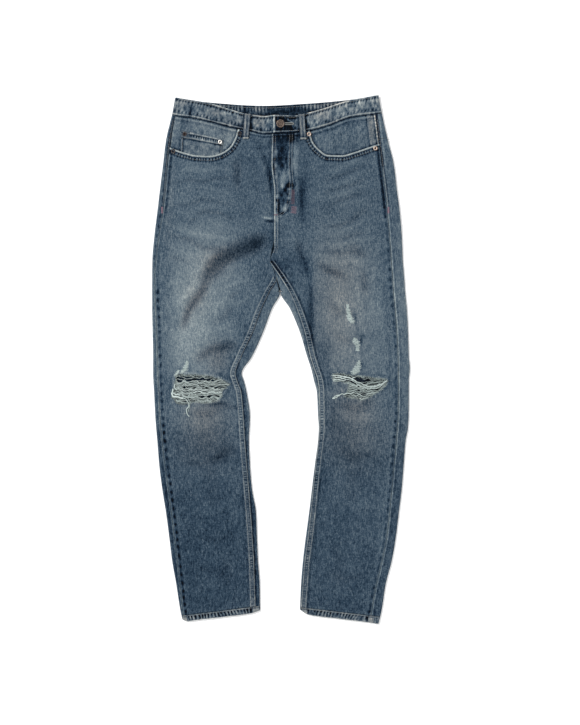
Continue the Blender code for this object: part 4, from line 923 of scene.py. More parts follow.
def denim_material(name, lighter=0.0, inside=0.0, tone_name="tone"):
    """Washed twill: uneven yarns both ways, a fine diagonal rib, the dye's own tone, seam puckers as bump and
    as painted highlight and shade.

    inside is the share of bare weft that shows on the wrong side.
    """
    tree = Tree(name)
    slub = tree.noise((560.0, 128.0, 260.0), 2.0, 0.6)
    weft = tree.noise((140.0, 420.0, 300.0), 2.0, 0.6, math.radians(12.0))
    grain = tree.noise((660.0, 400.0, 400.0), 2.0, 0.7)
    fine = tree.noise((1500.0, 1300.0, 1300.0), 1.0, 0.5)
    mottle = tree.noise((80.0, 46.0, 60.0), 3.0, 0.6)
    rib = tree.waves(RIB, math.radians(62.0), 1.5)
    parts = ((slub, 0.52), (weft, 0.20), (grain, 0.48), (fine, 0.36), (mottle, 0.08), (rib, 0.08))
    yarns = -0.5 * sum(amount for _, amount in parts)
    for value, amount in parts:
        yarns = tree.math("MULTIPLY_ADD", value, amount, yarns)

    # the yarns show less where the dye is light
    tone = tree.attribute(tone_name)
    calm = tree.math("MAXIMUM", tree.math("MULTIPLY_ADD", tone, -1.4, 1.462), 0.88)
    tone = tree.math("MULTIPLY_ADD", yarns, tree.math("MINIMUM", calm, 1.0), tone)
    if lighter:
        tone = tree.math("ADD", tone, lighter)
    # painted highlight and shade of the puckers along the inseam and the pocket mouth, also used as a bump
    beads = tree.math("MULTIPLY", tree.attribute("beads"), tree.pulse(tree.length_down(), *INSEAM_PULSE))
    ticks = tree.pulse(tree.attribute("mouth_run"), *MOUTH_PULSE)
    plain, dashed = tree.profile(tree.attribute("mouth"), MOUTH_REACH, MOUTH_PROFILE)
    seam = tree.math("ADD", plain, tree.math("MULTIPLY_ADD", dashed, ticks, beads))

    colour = tree.ramp(tree.math("ADD", tone, seam), DYE)
    warm = tree.math("MULTIPLY", tree.attribute("warm"), 0.55)
    colour = tree.blend(warm, colour, tree.blend(1.0, colour, WARM_DYE_AND_SHADE, "MULTIPLY"))
    if inside:
        bare = tree.math("GREATER_THAN", tree.waves(RIB, math.radians(118.0), 2.0), 0.62)
        colour = tree.blend(tree.math("MULTIPLY", bare, inside), colour, BARE_WEFT)

    relief = tree.math("MULTIPLY_ADD", rib, 0.35, tree.math("MULTIPLY", fine, 0.5))
    normal = tree.bump(tree.math("MULTIPLY_ADD", slub, 0.8, relief), 0.75, 0.0006)
    normal = tree.bump(tree.math("ADD", mottle, grain), 0.5, 0.0009, normal)
    tree.fill(tree.shader, {
        "Base Color": colour, "Roughness": tree.math("MULTIPLY_ADD", grain, 0.2, 0.76),
        "Specular IOR Level": 0.06, "Sheen Weight": 0.03, "Sheen Roughness": 0.5,
        "Sheen Tint": (0.75, 0.84, 0.92, 1.0), "Normal": tree.bump(seam, 0.8, 0.0022, normal),
    })
    return tree.material


def thread_material(name, *colours):
    """Spun thread: tone picks among the (place, r, g, b) colours, with the twist as a bump."""
    tree = Tree(name)
    mottle = tree.noise(700.0, 2.0, 0.6)
    tone = tree.math("SUBTRACT", tree.math("ADD", tree.attribute("tone"), 0.5), 0.25)
    stops = [(place, srgb(*colour)) for place, *colour in colours]
    twist = tree.waves(700.0, math.radians(40.0), 1.0)
    tree.fill(tree.shader, {
        "Base Color": tree.ramp(tree.math("MULTIPLY_ADD", mottle, 0.5, tone), stops),
        "Roughness": tree.math("MULTIPLY_ADD", mottle, 0.2, 0.7),
        "Sheen Weight": 0.15, "Normal": tree.bump(twist, 0.5, 0.0002),
    })
    return tree.material


def metal_material(name, colour, dark, rough):
    """Worn plated metal: duller and darker in patches."""
    tree = Tree(name)
    patches = tree.noise(300.0, 4.0, 0.65)
    fine = tree.noise(1800.0, 2.0, 0.6)
    share = tree.math("MULTIPLY_ADD", patches, 2.2, -0.7)
    tree.fill(tree.shader, {
        "Base Color": tree.ramp(share, [(0.0, srgb(*dark)), (1.0, srgb(*colour))]), "Metallic": 1.0,
        "Roughness": tree.math("MULTIPLY_ADD", patches, -0.25, rough + 0.12),
        "Normal": tree.bump(tree.math("ADD", fine, patches), 0.25, 0.0002),
    })
    return tree.material


DENIM = denim_material("denim")
# the inside faces are 0.17 darker in tone: painted shade of the hollow legs
DENIM_INSIDE = denim_material("denim_inside", lighter=-0.17, inside=0.35)
BACK_INSIDE = denim_material("back_inside", lighter=-0.17, inside=0.12, tone_name="inner_tone")
BAND_INSIDE = denim_material("band_inside", tone_name="inner_tone")
WEFT = thread_material(
    "weft_thread", (0.0, 28, 36, 43), (0.3, 84, 94, 95), (0.55, 146, 160, 158), (1.0, 208, 219, 216))
TOPSTITCH = thread_material(
    "topstitch", (0.0, 28, 34, 44), (0.3, 74, 78, 84), (0.6, 124, 126, 124), (1.0, 196, 196, 188))
TACK = thread_material("bartack", (0.0, 42, 34, 54), (0.5, 108, 84, 98), (1.0, 186, 160, 168))
TAPE = thread_material("zip_tape", (0.0, 20, 24, 32), (1.0, 70, 76, 88))
BUTTON_METAL = metal_material("button_face", (150, 134, 124), (52, 44, 42), 0.42)
PATINA = metal_material("metal_patina", (52, 42, 40), (22, 20, 24), 0.6)
RIVET_METALS = {
    "copper": metal_material("rivet_copper", (90, 84, 82), (42, 39, 40), 0.55),
    "steel": metal_material("button_metal", (244, 242, 238), (190, 186, 178), 0.42),
    "beige": metal_material("rivet_beige", (214, 196, 182), (150, 130, 118), 0.5),
}


# Meshes

made = {}                 # the finished object of each node


def linked(name, data):
    """An object of the data, in the scene."""
    obj = bpy.data.objects.new(name, data)
    bpy.context.scene.collection.objects.link(obj)
    return obj


def cloth(node, x, y, z, tone, warm, wall, materials, quads=None, marks=(), ending="cloth"):
    """A cloth wall for a node, with its outer face through the points; a second material is its inside."""
    quads = grid_quads(*x.shape) if quads is None else quads
    used, index = np.unique(quads, return_inverse=True)
    quads = index.reshape(quads.shape)
    co = np.stack([x.ravel()[used], y.ravel()[used], z.ravel()[used]], 1) * MM
    a, b, d = co[quads[0, 0]], co[quads[0, 1]], co[quads[0, 3]]
    if np.cross(b - a, d - a)[2] < 0.0:
        quads = quads[:, ::-1]
    name = "%s_%s" % (node, ending)
    mesh = bpy.data.meshes.new(name)
    mesh.vertices.add(len(co))
    mesh.vertices.foreach_set("co", co.astype(np.float32).ravel())
    mesh.loops.add(quads.size)
    mesh.loops.foreach_set("vertex_index", quads.astype(np.int32).ravel())
    mesh.polygons.add(len(quads))
    mesh.polygons.foreach_set("loop_start", np.arange(0, quads.size, 4, dtype=np.int32))
    mesh.update(calc_edges=True)
    mesh.validate()
    for key, values in (("tone", tone), ("warm", warm)) + tuple(marks):
        values = np.broadcast_to(values, x.shape).ravel()[used]
        mesh.attributes.new(key, "FLOAT", "POINT").data.foreach_set("value", values.astype(np.float32))
    mesh.shade_smooth()
    for item in materials:
        mesh.materials.append(item)
    obj = linked(name, mesh)
    solidify = obj.modifiers.new("Wall", "SOLIDIFY")
    solidify.thickness, solidify.offset = wall * MM, -1.0
    if len(materials) > 1:
        solidify.material_offset, solidify.material_offset_rim = 1, 0
    made[node] = obj


def grid_quads(rows, columns, keep=None, closed=False):
    """Quads of a grid; keep says which points there are."""
    index = np.arange(rows * columns).reshape(rows, columns)
    after = np.roll(index, -1, axis=1)
    last = columns if closed else columns - 1
    quads = np.stack([index[:-1, :last], after[:-1, :last], after[1:, :last], index[1:, :last]], -1)
    quads = quads.reshape(-1, 4)
    return quads if keep is None else quads[keep.ravel()[quads].all(axis=1)]


def inside_outline(x, y, outline):
    """Which points lie inside a closed outline."""
    inside = np.zeros(len(x), bool)
    for (ax, ay), (bx, by) in zip(outline, outline[1:] + outline[:1]):
        if ay != by:
            inside ^= ((ay > y) != (by > y)) & (x < (bx - ax) * (y - ay) / (by - ay) + ax)
    return inside


def trim(x, y, quads, outline):
    """Drop the quads inside an outline and bring the edge of the cut onto it."""
    shape = x.shape
    x, y = x.ravel().copy(), y.ravel().copy()
    gone = inside_outline(x[quads].mean(axis=1), y[quads].mean(axis=1), outline)
    edge = np.intersect1d(quads[gone], quads[~gone])
    x[edge], y[edge] = nearest(x[edge], y[edge], outline + outline[:1])[3]
    return x.reshape(shape), y.reshape(shape), quads[~gone]


def frayed(outline, amount, step, seed):
    """The outline again in short steps, pushed in and out unevenly."""
    length, at = route(outline + outline[:1])
    count = int(length / step)
    px, py = at(np.linspace(0.0, length, count, endpoint=False))
    tx, ty = np.roll(px, -1) - np.roll(px, 1), np.roll(py, -1) - np.roll(py, 1)
    size = np.hypot(tx, ty) + 1e-9
    push = amount * np.random.RandomState(seed).uniform(-1.0, 1.0, count)
    return list(zip(px + push * ty / size, py - push * tx / size))


def steps_between(marks, spacing):
    """Values from the first mark to the last, through every mark, with a spacing for each stretch."""
    found = [[marks[0]]]
    for start, end, size in zip(marks, marks[1:], spacing):
        found.append(np.linspace(start, end, max(1, int(round(abs(end - start) / size))) + 1)[1:])
    return np.concatenate(found)


def bend_level(level, u, top_line, top_level, side):
    """Levels bent near their ends to follow the slanted top line and the slanted hem."""
    near_top = np.clip((level - top_level + END_FADE) / END_FADE, 0.0, 1.0)
    near_hem = np.clip((side.hem_level + END_FADE - level) / END_FADE, 0.0, 1.0)
    level = level + (top_line(u) - top_level) * near_top
    return level + (side.hem_seam(u) - side.hem_level) * near_hem


def stations(*parts):
    """Part and value of each station of a strip, from (part, values) pairs."""
    part = np.concatenate([np.full(len(values), code) for code, values in parts])
    return part, np.concatenate([values for _, values in parts])


def by_part(part, *choices):
    """For each point the choice of its part, with the last for all later parts."""
    return np.select([part == code for code in range(len(choices) - 1)], choices[:-1], choices[-1])


def shares(count, last=True):
    """Count even shares from 0 to 1, less the one at 0 and, unless last, the one at 1."""
    return np.linspace(0.0, 1.0, count)[1:None if last else -1]


# Fronts

EDGE_COLUMNS = (0.0, 0.6, 1.3, 2.2, 3.2, 4.3, 5.5, 6.8, 8.2, 9.8, 11.8, 14.2)
FLY_COLUMNS = tuple(np.arange(15.8, 49.0, 1.55))
FRONT_MARKS = (FRONT_TOP, FRONT_TOP - 10.0, 270.0, -20.0, -95.0)
FRONT_SPACING = (1.0, 1.9, 2.4, 1.7, 2.6)


def mouth_corner(side):
    """Outline of the corner that the pocket mouth takes out of a front."""
    (first_u, first_y), (last_u, last_y) = side.mouth_path[0], side.mouth_path[-1]
    out, up = last_u + 20.0, first_y + 60.0
    return [(side.sign * u, y) for u, y in side.mouth_path + [(out, last_y), (out, up), (first_u, up)]]


def front_panel(side, rim):
    """A front with the pocket mouth and the rip cut out; its columns are close at both edges."""
    levels = steps_between(FRONT_MARKS + (side.hem_level + SEAM,), FRONT_SPACING)[:, None]
    outer_steps = np.array(EDGE_COLUMNS)
    inner_steps = np.array(EDGE_COLUMNS + (FLY_COLUMNS if side is LEFT else ()))[::-1]
    middle = shares(56 if side is LEFT else 68, last=False)
    a, b = len(outer_steps), len(inner_steps)
    y = np.repeat(levels, a + len(middle) + b, axis=1)
    for _ in range(5):
        inner = side.front_edge(y) + SEAM - fell_share(side, y) * FELL
        if side is RIGHT:
            inner = inner - ease(y, FLY_BOTTOM, FLY_BOTTOM + FLY_CHANGE) * (FLY_UNDERLAP + 2 * SEAM)
        outer = side.outseam(y) - SEAM
        between = mix(outer[:, a:-b] - outer_steps[-1], inner[:, a:-b] + inner_steps[0], middle)
        u = np.hstack([outer[:, :a] - outer_steps, between, inner[:, -b:] + inner_steps])
        y = bend_level(levels, u, lambda v: waist_seam_front(side.sign * v) - 2 * SEAM, FRONT_TOP, side)
    x, quads = side.sign * u, grid_quads(*y.shape)
    for outline in (mouth_corner(side), rim):
        x, y, quads = trim(x, y, quads, outline)
    u = side.sign * x
    cloth("front_" + side.word, x, y, front_height(side, u, y), *front_tone(side, u, y), WALL,
          [DENIM, DENIM_INSIDE], quads, front_marks(side, u, y))


# Backs and yokes, from the outseam on top, round the fold, underneath and up at the inseam

STRIP, ROUND, UNDER, INNER_ROUND, INNER_STRIP = range(5)
STRIP_SHARES = np.array([0.0, 0.06, 0.13, 0.22, 0.33, 0.46, 0.6, 0.8, 1.0])
# Painted shade on the back's inner face where it shows through the rips: x, y, reach across, reach along
RIP_PAINTED_SHADE = ((-162.0, -58.0, 66.0, 40.0), (172.0, -52.0, 60.0, 34.0))


def back_reach(side, y, part, share):
    """Distance u of the back layer's points."""
    seam = side.outseam(y) + SEAM
    start, inner = side.outer(y) - FOLD_REACH, side.inner(y)
    forked = y <= FORK[1] + SEAM
    turn = FOLD_REACH * np.sin(math.pi * share)
    at_inseam = np.where(forked, inner + FOLD_REACH + SEAM, side.seat_seam(y) + SEAM)
    return by_part(
        part,
        mix(seam, start, share),
        start + turn,
        mix(start, inner + np.where(forked, FOLD_REACH + SEAM, SEAM), share),
        inner + FOLD_REACH + SEAM - turn,
        mix(at_inseam, side.front_edge(y) - SEAM, share),
    )


def back_points(side, y, part, share):
    """Points (u, z) of the back layer."""
    u = back_reach(side, y, part, share)
    row = y[:, :1]
    low, top = ground_lift(y), upper_face(side, u, y)
    high = upper_face(side, side.outer(row) - FOLD_REACH, row)
    inner_high = upper_face(side, side.inner(row) + FOLD_REACH, row)
    turn = np.cos(math.pi * share)
    room = ease(share * (1 - share), 0.0, 0.06)
    under = low + 0.5 * np.clip(noise(side.sign * u, y, (60.0, 18.0), 71), 0.0, 1.0) * room
    z = by_part(part, top, mix(low, high, (1 + turn) / 2), under, mix(low, inner_high, (1 - turn) / 2), top)
    return u, z


def back_finish(node, side, y, part, share, quads=None):
    """The back layer's relief and tone, and its object; its inner face is darkened with painted shade under
    the rips.
    """
    u, z = back_points(side, y, part, share)
    x = side.sign * u
    under, rounded = part == UNDER, (part == ROUND) | (part == INNER_ROUND)
    to_seam = np.where(part == STRIP, u - side.outseam(y), AWAY)
    to_inseam = np.where(part == INNER_STRIP, side.front_edge(y) - u, AWAY)
    z = z - 0.5 * bell(to_seam, 1.2) + 0.45 * bell(to_seam - 2.6, 1.5)
    tone, warm = cloth_tone(x, y)
    seat = 0.33 + 0.03 * noise(x, y, 60.0, 72) + 0.05 * patch(x, y, side.sign * 130.0, 120.0, 90.0, 160.0)
    strip_tone = base_tone(y) + (0.02 if side is LEFT else -0.04)
    calm = by_part(part, 0.7, 0.7, 0.0, 0.7, 0.8)
    tone = mix(np.where(under, seat, tone), strip_tone, calm)
    hip = ease(y, 285.0, 325.0)
    lean = ease(y, 165.0, 125.0) if side is RIGHT else 1.0
    top_dark = ease(y, 385.0, 400.0) * (1.0 if side is LEFT else 0.4)
    worn = (0.08 + 0.15 * lean) * (1.0 - top_dark) * (0.7 + 0.3 * dashes(y, 15.0, 41))
    tone = tone + worn * bell(to_seam - 1.4, 1.3)
    tone = tone + top_dark * (0.14 * bell(to_seam - 6.4, 1.4) - 0.26 * bell(to_seam - 1.8, 2.6))
    tone = tone + hip * (0.08 * bell(to_seam - 7.0, 1.6) - 0.12 * (1.0 - top_dark) * bell(to_seam - 3.6, 1.5))
    spots = 0.14 * (1.0 - lean) * (1.0 - hip) * dashes(y, 19.0, 73) ** 2
    tone = tone - bell(to_seam - 4.6, 2.2) * (0.06 + spots) - 0.15 * bell(to_inseam - 6.6, 1.6)
    tone = tone - np.where(part == INNER_STRIP, 0.08, 0.0) * bell(y + 80.0, 70.0)
    tone = tone + np.where(rounded, 0.07, 0.0) * (0.5 + 0.5 * noise(x, y, 9.0, 74))
    tone = tone + np.where(under, 0.0, 0.035) * noise(x, y, (6.0, 11.0), 75)
    # painted shade on the inner face under the rips
    inner_tone = tone - 0.12 * sum(patch(x, y, *place) for place in RIP_PAINTED_SHADE)
    cloth(node + side.word, x, y, z, tone, warm, WALL, [DENIM, BACK_INSIDE], quads,
          (("inner_tone", inner_tone),))


def back_panel(side):
    part, share = stations(
        (STRIP, STRIP_SHARES), (ROUND, shares(11)), (UNDER, shares(30)), (INNER_ROUND, shares(11)),
        (INNER_STRIP, STRIP_SHARES[1:]))
    levels = steps_between((BACK_TOP, CROSSING[1], FORK[1], side.hem_level + SEAM), (4.0, 2.75, 3.0))
    part, share, levels = np.broadcast_arrays(part, share, levels[:, None])
    y = levels
    for _ in range(5):
        u = back_reach(side, y, part, share)
        y = bend_level(levels, u, lambda v: yoke_seam(np.abs(v)) - SEAM, BACK_TOP, side)
    forked, tongue = levels <= FORK[1] + SEAM, levels <= side.tongue_top
    quads = grid_quads(*y.shape, keep=by_part(part, True, True, True, forked, tongue))
    parts = part.ravel()[quads]
    bridge = (parts == UNDER).any(axis=1) & (parts == INNER_STRIP).any(axis=1)
    back_finish("back_", side, y, part, share, quads[~bridge])


def band_foot(x, turn):
    """The waistband's lower edge, from the front's (turn 0) to the back's (turn 1)."""
    return mix(waist_seam_front(x), band_top_back(x) - BAND_HEIGHT, turn)


def yoke_panel(side):
    part, share = stations((STRIP, STRIP_SHARES), (ROUND, shares(11)), (UNDER, shares(42)))
    part, share, drop = np.broadcast_arrays(part, share, np.linspace(0.0, 1.0, 26)[:, None])
    y = np.full(part.shape, BACK_TOP)
    for _ in range(6):
        u = back_reach(side, y, part, share)
        top = band_foot(side.sign * u, by_part(part, 0.0, share, 1.0)) - SEAM
        y = mix(top, yoke_seam(np.abs(u)) + SEAM, drop)
    back_finish("yoke_", side, y, part, share)


# Waistband, from its right end round the back to the left end's lap

FRONT, RIGHT_SLANT, RIGHT_TURN, BACK, LEFT_TURN, LEFT_SLANT, LAP = range(7)
BAND_ROWS = np.array([0, .5, 1.1, 1.9, 2.8, 3.9, 5.2, 7, 9, 11, 13, 14.4, 15.2, 16, 16.8, 17.6, 18.4, 19.4,
                      21, 23, 25, 27, 28.8, 30.2, 31.4, 32.5, 33.5, 34.4, 35.2, 36.0]) / BAND_HEIGHT
BAND_RADIUS = (BAND_FACE - SEAT_LIFT) / 2.0


def band_points():
    """Part and value of each station: its x, its share of a slant or its angle."""
    folds = [float(side.outer(waist_seam_front(x))) - FOLD_REACH for side, x in zip(SIDES, BAND_SIDES)]
    right_end, left_end = 0.94 * -folds[0], 0.94 * folds[1]
    slant, angles = shares(19, last=False), np.linspace(0.0, math.pi, 17)
    lap = [np.arange(SLANTED_FROM[1], 30.0, -1.3), np.arange(30.0, OVERLAP_END, -0.9), [OVERLAP_END]]
    return stations(
        (FRONT, np.arange(UNDERLAP_END, SLANTED_FROM[0], -1.3)), (RIGHT_SLANT, slant), (RIGHT_TURN, angles),
        (BACK, np.arange(right_end, left_end, 1.4)), (LEFT_TURN, angles[::-1]), (LEFT_SLANT, slant[::-1]),
        (LAP, np.concatenate(lap)))


def keyhole():
    """Outline of the buttonhole: a round end at the button and a slit."""
    angles = np.radians(np.linspace(14.0, 346.0, 18))
    hole = [(BUTTON[0] + 3.8 * math.cos(a), BUTTON[1] + 3.8 * math.sin(a)) for a in angles]
    return hole + [(24.0, BUTTON[1] - 0.8), (24.8, BUTTON[1]), (24.0, BUTTON[1] + 0.8)]


def waistband():
    part, value = band_points()
    part, value, drop = np.broadcast_arrays(part, value, BAND_ROWS[:, None])
    turned, back = (part == RIGHT_TURN) | (part == LEFT_TURN), part == BACK
    lap = (part == LAP) | (part == LEFT_SLANT)
    right_x, left_x = -float(RIGHT.outer(520.0)), float(LEFT.outer(520.0))
    cosine, sine = np.cos(value), np.sin(value)
    flat_x = by_part(part, value, mix(SLANTED_FROM[0], right_x + BAND_RADIUS, value), right_x, value, left_x,
                     mix(SLANTED_FROM[1], left_x - BAND_RADIUS, value), value)
    top = np.where(back, band_top_back(flat_x), band_top_front(flat_x))
    turn = np.where(turned, value / math.pi, np.where(back, 1.0, 0.0))
    foot = band_foot(flat_x, turn) + SEAM
    y = mix(top, foot, drop)
    right_fold, left_fold = BAND_RADIUS - RIGHT.outer(y), LEFT.outer(y) - BAND_RADIUS
    x = by_part(part, value, mix(SLANTED_FROM[0], right_fold, value), right_fold - BAND_RADIUS * sine, value,
                left_fold + BAND_RADIUS * sine, mix(SLANTED_FROM[1], left_fold, value), value)
    face = np.where(lap, band_face(flat_x), BAND_FACE)
    z = np.where(turned, SEAT_LIFT + BAND_RADIUS * (1.0 + cosine), np.where(back, SEAT_LIFT, face))
    d_top, d_foot = drop * (top - foot), (1.0 - drop) * (top - foot)
    run = np.where(turned, flat_x + value * 3.0, flat_x)
    tick, low_tick = dashes(run + 0.3 * d_top, 6.4, 81), dashes(run - 0.2 * d_foot, 7.2, 86)
    relief = 0.42 * (tick - 0.5) * bell(d_top - 6.0, 4.0) + 0.42 * (low_tick - 0.5) * bell(d_foot - 6.5, 4.0)
    relief = relief - 0.7 * bell(d_top, 0.8) - 0.6 * bell(d_foot, 0.9) + 0.25 * bell(d_top - 3.2, 2.0)
    relief = relief + 0.22 * noise(run, y, (11.0, 16.0), 82) + 0.18 * noise(run, y, 30.0, 83)
    z = z + np.where(turned, cosine, 1.0) * np.where(back, 0.0, relief)
    ruck = 0.35 * np.clip(dashes(run, 5.4, 84) - 0.4, 0, 1) * bell(d_top - 7.0, 6.0)
    from_end = np.where(lap, flat_x - OVERLAP_END, AWAY)
    z = z + np.where(back, ruck, 0.0) - 0.6 * bell(from_end, 0.9)

    tone = 0.39 + 0.06 * ease(x, 20.0, 60.0) + 0.05 * noise(run, y, 26.0, 85)
    tone = tone + 0.17 * noise(run, y, (4.6, 8.0), 87) + 0.10 * noise(run, y, (3.0, 5.0), 88)
    worn_edge = 0.06 + 0.34 * ease(x, -158.0, -140.0) * ease(x, 146.0, 130.0)
    tone = tone + worn_edge * bell(d_top, 1.7) + 0.16 * bell(d_top - 8.6, 3.0) * tick
    tone = tone - 0.50 * bell(d_top - 4.6, 2.3) * (1.0 - tick) ** 1.5
    # the foot lines end in a painted shadow along the band's lower edge
    tone = tone + (0.40 * low_tick - 0.26) * bell(d_foot - 8.6, 2.6) + bands(d_foot, BAND_FOOT_LINES)
    tone = tone - 0.09 * ease(np.abs(x - 12.0), 62.0, 44.0) * bell(d_foot - 5.0, 5.0)
    around = np.maximum(np.abs(x - BUTTON[0] - 7.0) / 22.0, np.abs(y - BUTTON[1] - 1.0) / 16.0)
    on_lap = 0.30 * bell(from_end - 0.5, 1.4) - 0.32 * ease(around, 1.15, 0.8) * ease(from_end, 2.0, 4.0)
    on_lap = on_lap + 0.36 * bell(near_path(x, y, BUTTONHOLE_FOLD)[0], 1.7)
    on_lap = on_lap + 0.16 * patch(x, y, -9.0, 468.5, 6.0, 3.6)
    tone = tone + np.where(lap, on_lap, 0.0)
    for _, x_top, x_foot, y_top in FRONT_LOOPS:
        gap = np.abs(x - mix(x_top, x_foot, (y_top - y) / LOOP_LENGTH)) - LOOP_WIDTH / 2.0
        shade = np.where(x > mix(x_top, x_foot, 0.5), 0.44, 0.22)
        tone = tone - np.where(back, 0.0, shade) * bell(gap - 1.2, 3.2)
    ticks_inside = dashes(run, 7.4, 84) ** 1.5 * (1.0 - 0.75 * ease(np.abs(run - 8.0), 44.0, 26.0))
    inner_tone = 0.12 + 0.50 * bell(d_top - 7.0, 6.5) * ticks_inside + 0.18 * bell(d_top, 1.1)
    inner_tone = inner_tone + 0.09 * noise(run, y, (3.0, 12.0), 89) + 0.10 * noise(run, y, (16.0, 3.4), 90)
    warm = np.clip(np.where(back, 0.75, 0.5) + 0.4 * noise(run, y, 22.0, 94), 0.0, 1.0)

    quads = grid_quads(*x.shape)
    lapped = lap.ravel()[quads].all(axis=1)
    x, y, cut_quads = trim(x, y, quads[lapped], keyhole())
    cloth("waistband", x, y, z, tone, warm, BAND_WALL, [DENIM, BAND_INSIDE],
          np.concatenate([quads[~lapped], cut_quads]), (("inner_tone", inner_tone),))


# Hems, from the front's inner side outward, round the fold and back underneath

HEM_ROWS = np.array([0, .04, .1, .18, .28, .38, .5, .62, .74, .84, .92, .97, 1.0])


def hem(side):
    high = LEG_HEIGHT - EDGE_DROOP
    reach = high / 2.0
    part, share = stations((0, np.linspace(0.0, 1.0, 150)), (1, shares(11)), (2, shares(60)),
                           (3, shares(11, last=False)))
    part, share, drop = np.broadcast_arrays(part, share, HEM_ROWS[:, None])
    y = np.full(part.shape, side.hem_level)
    swing = reach * np.sin(math.pi * share)
    for _ in range(5):
        near, far = side.inner(y) + reach, side.outer(y) - reach
        u = by_part(part, mix(near, far, share), far + swing, mix(far, near, share), near - swing)
        y = mix(side.hem_seam(u) - SEAM, side.hem_edge(u), drop)
    x, turn = side.sign * u, np.cos(math.pi * share)
    z = by_part(part, upper_face(side, u, y), reach + reach * turn, 0.0, reach - reach * turn)
    size = side.hem_seam(u) - side.hem_edge(u)
    d_top, d_edge = drop * size, (1.0 - drop) * size
    slant = 0.30 + 0.35 * noise(x, x, 30.0, 96)
    rope = dashes(u + slant * d_top, 6.6, 91)
    bumps = 0.7 * (rope - 0.5) * ease(d_top, 0.0, 3.0) - 0.5 * bell(d_edge, 0.8) - 0.4 * bell(d_top, 0.7)
    z = z + np.maximum(by_part(part, 1.0, turn, -1.0, -turn), 0.0) * bumps

    deep = mix(0.42, 0.86, ease(d_top, 7.5, 4.0)) * (0.75 + 0.5 * noise(x, x, 16.0, 98))
    base, strength = (0.375, 1.7) if side is RIGHT else (0.392, 1.1)
    tone = base + strength * deep * (rope - 0.55) * ease(d_top, 1.0, 3.0) * ease(d_edge, 0.5, 2.0)
    tone = np.minimum(tone, 0.60) + 0.16 * bell(d_edge, 1.5) + bands(d_top, HEM_LINES)
    tone = tone + 0.12 * noise(x, y, 4.0, 92) + 0.06 * noise(x, y, 14.0, 97)
    to_seam = np.minimum(np.abs(u - side.inner(y) - 9.0), np.abs(u - side.outseam(y) - 1.5))
    crossing = ease(to_seam, 7.0, 5.5)
    tone = mix(tone, 0.57 + 0.08 * noise(x, y, 4.0, 93) - 0.34 * bell(d_top - 2.6, 1.3), crossing)
    tone = tone - 0.16 * bell(to_seam - 7.4, 1.3)
    tone = mix(tone, 0.44, 0.6 * ease(u, side.outseam(y) + 1.0, side.outseam(y) + 5.0))
    cloth("hem_" + side.word, x, y, z, tone, 0.55 + 0.35 * crossing, HEM_WALL, [DENIM],
          grid_quads(*x.shape, closed=True))


# Pockets, belt loops, shield and zip

def facing(side):
    """The facing behind a pocket mouth, down to a little below it."""
    inner = side.mouth[0][0] - FACING_MARGIN
    share, across = np.broadcast_arrays(np.linspace(0.0, 1.0, 66)[:, None], np.linspace(0.0, 1.0, 120))
    y = np.full(share.shape, BACK_TOP)
    for _ in range(6):
        u = mix(side.outseam(y) - 3.0 * SEAM, inner, across)
        bottom = side.mouth_line(np.maximum(u, side.mouth[2][0])) - FACING_DEPTH
        y = mix(waist_seam_front(side.sign * u) - 2.0 * SEAM, bottom, share)
    x, z = side.sign * u, facing_height(side, u, y)
    top, gap = waist_seam_front(x) - y, side.outseam(y) - u
    if side is LEFT:
        strip = mix(19.0, 15.0, ease(y, 450.0, 420.0))
        on_strip = ease(gap, strip, strip - 1.5)
        z = z + 0.4 * ease(gap, strip + 1.0, strip - 1.0)
        tone = 0.38 + 0.03 * noise(x, y, 24.0, 101) - 0.17 * bell(gap - strip - 1.4, 1.5)
        tone = tone + on_strip * (0.09 + 0.06 * noise(x, y, (4.0, 7.0), 104))
        tone = tone + (0.06 + 0.40 * dashes(y, 6.8, 105)) * bell(gap - 1.6, 1.7) - 0.30 * bell(gap - 5.0, 1.6)
        # painted shadow below the waistband
        tone = tone - 0.07 * bell(top - 8.0, 6.0) * ease(gap, 30.0, 60.0)
        warm = 0.1 + 0.7 * on_strip
    else:
        tone = 0.415 + 0.05 * noise(x, y, 24.0, 102) + 0.07 * patch(u, y, 110.0, 455.0, 24.0, 24.0)
        tone = tone + 0.10 * bell(gap - 1.5, 1.5) - 0.07 * bell(gap - 20.0, 8.0)
        warm = 0.15 + 0.2 * bell(top, 20.0)
    # the top lines hold painted shadow under the waistband
    tone = tone + 0.06 * noise(x, y, (4.0, 5.0), 103) + bands(top, FACING_TOP_LINES)
    # painted shadow under the pocket mouth's edge
    tone = tone - 0.18 * bell(near_path(u, y, side.mouth_path)[0] - 1.0, 2.6)
    cloth("pocket_facing_" + side.word, x, y, z, tone, warm, LINER_WALL, [DENIM])


def coin_grid(share, across):
    """u and y on the coin pocket, share down and across from its outer side."""
    (u1, y1), (u2, y2) = COIN_TOP
    (u3, y3), (u4, y4) = COIN_BOTTOM
    return (mix(mix(u1, u3, share), mix(u2, u4, share), across),
            mix(mix(y1, y2, across), mix(y3, y4, across), share))


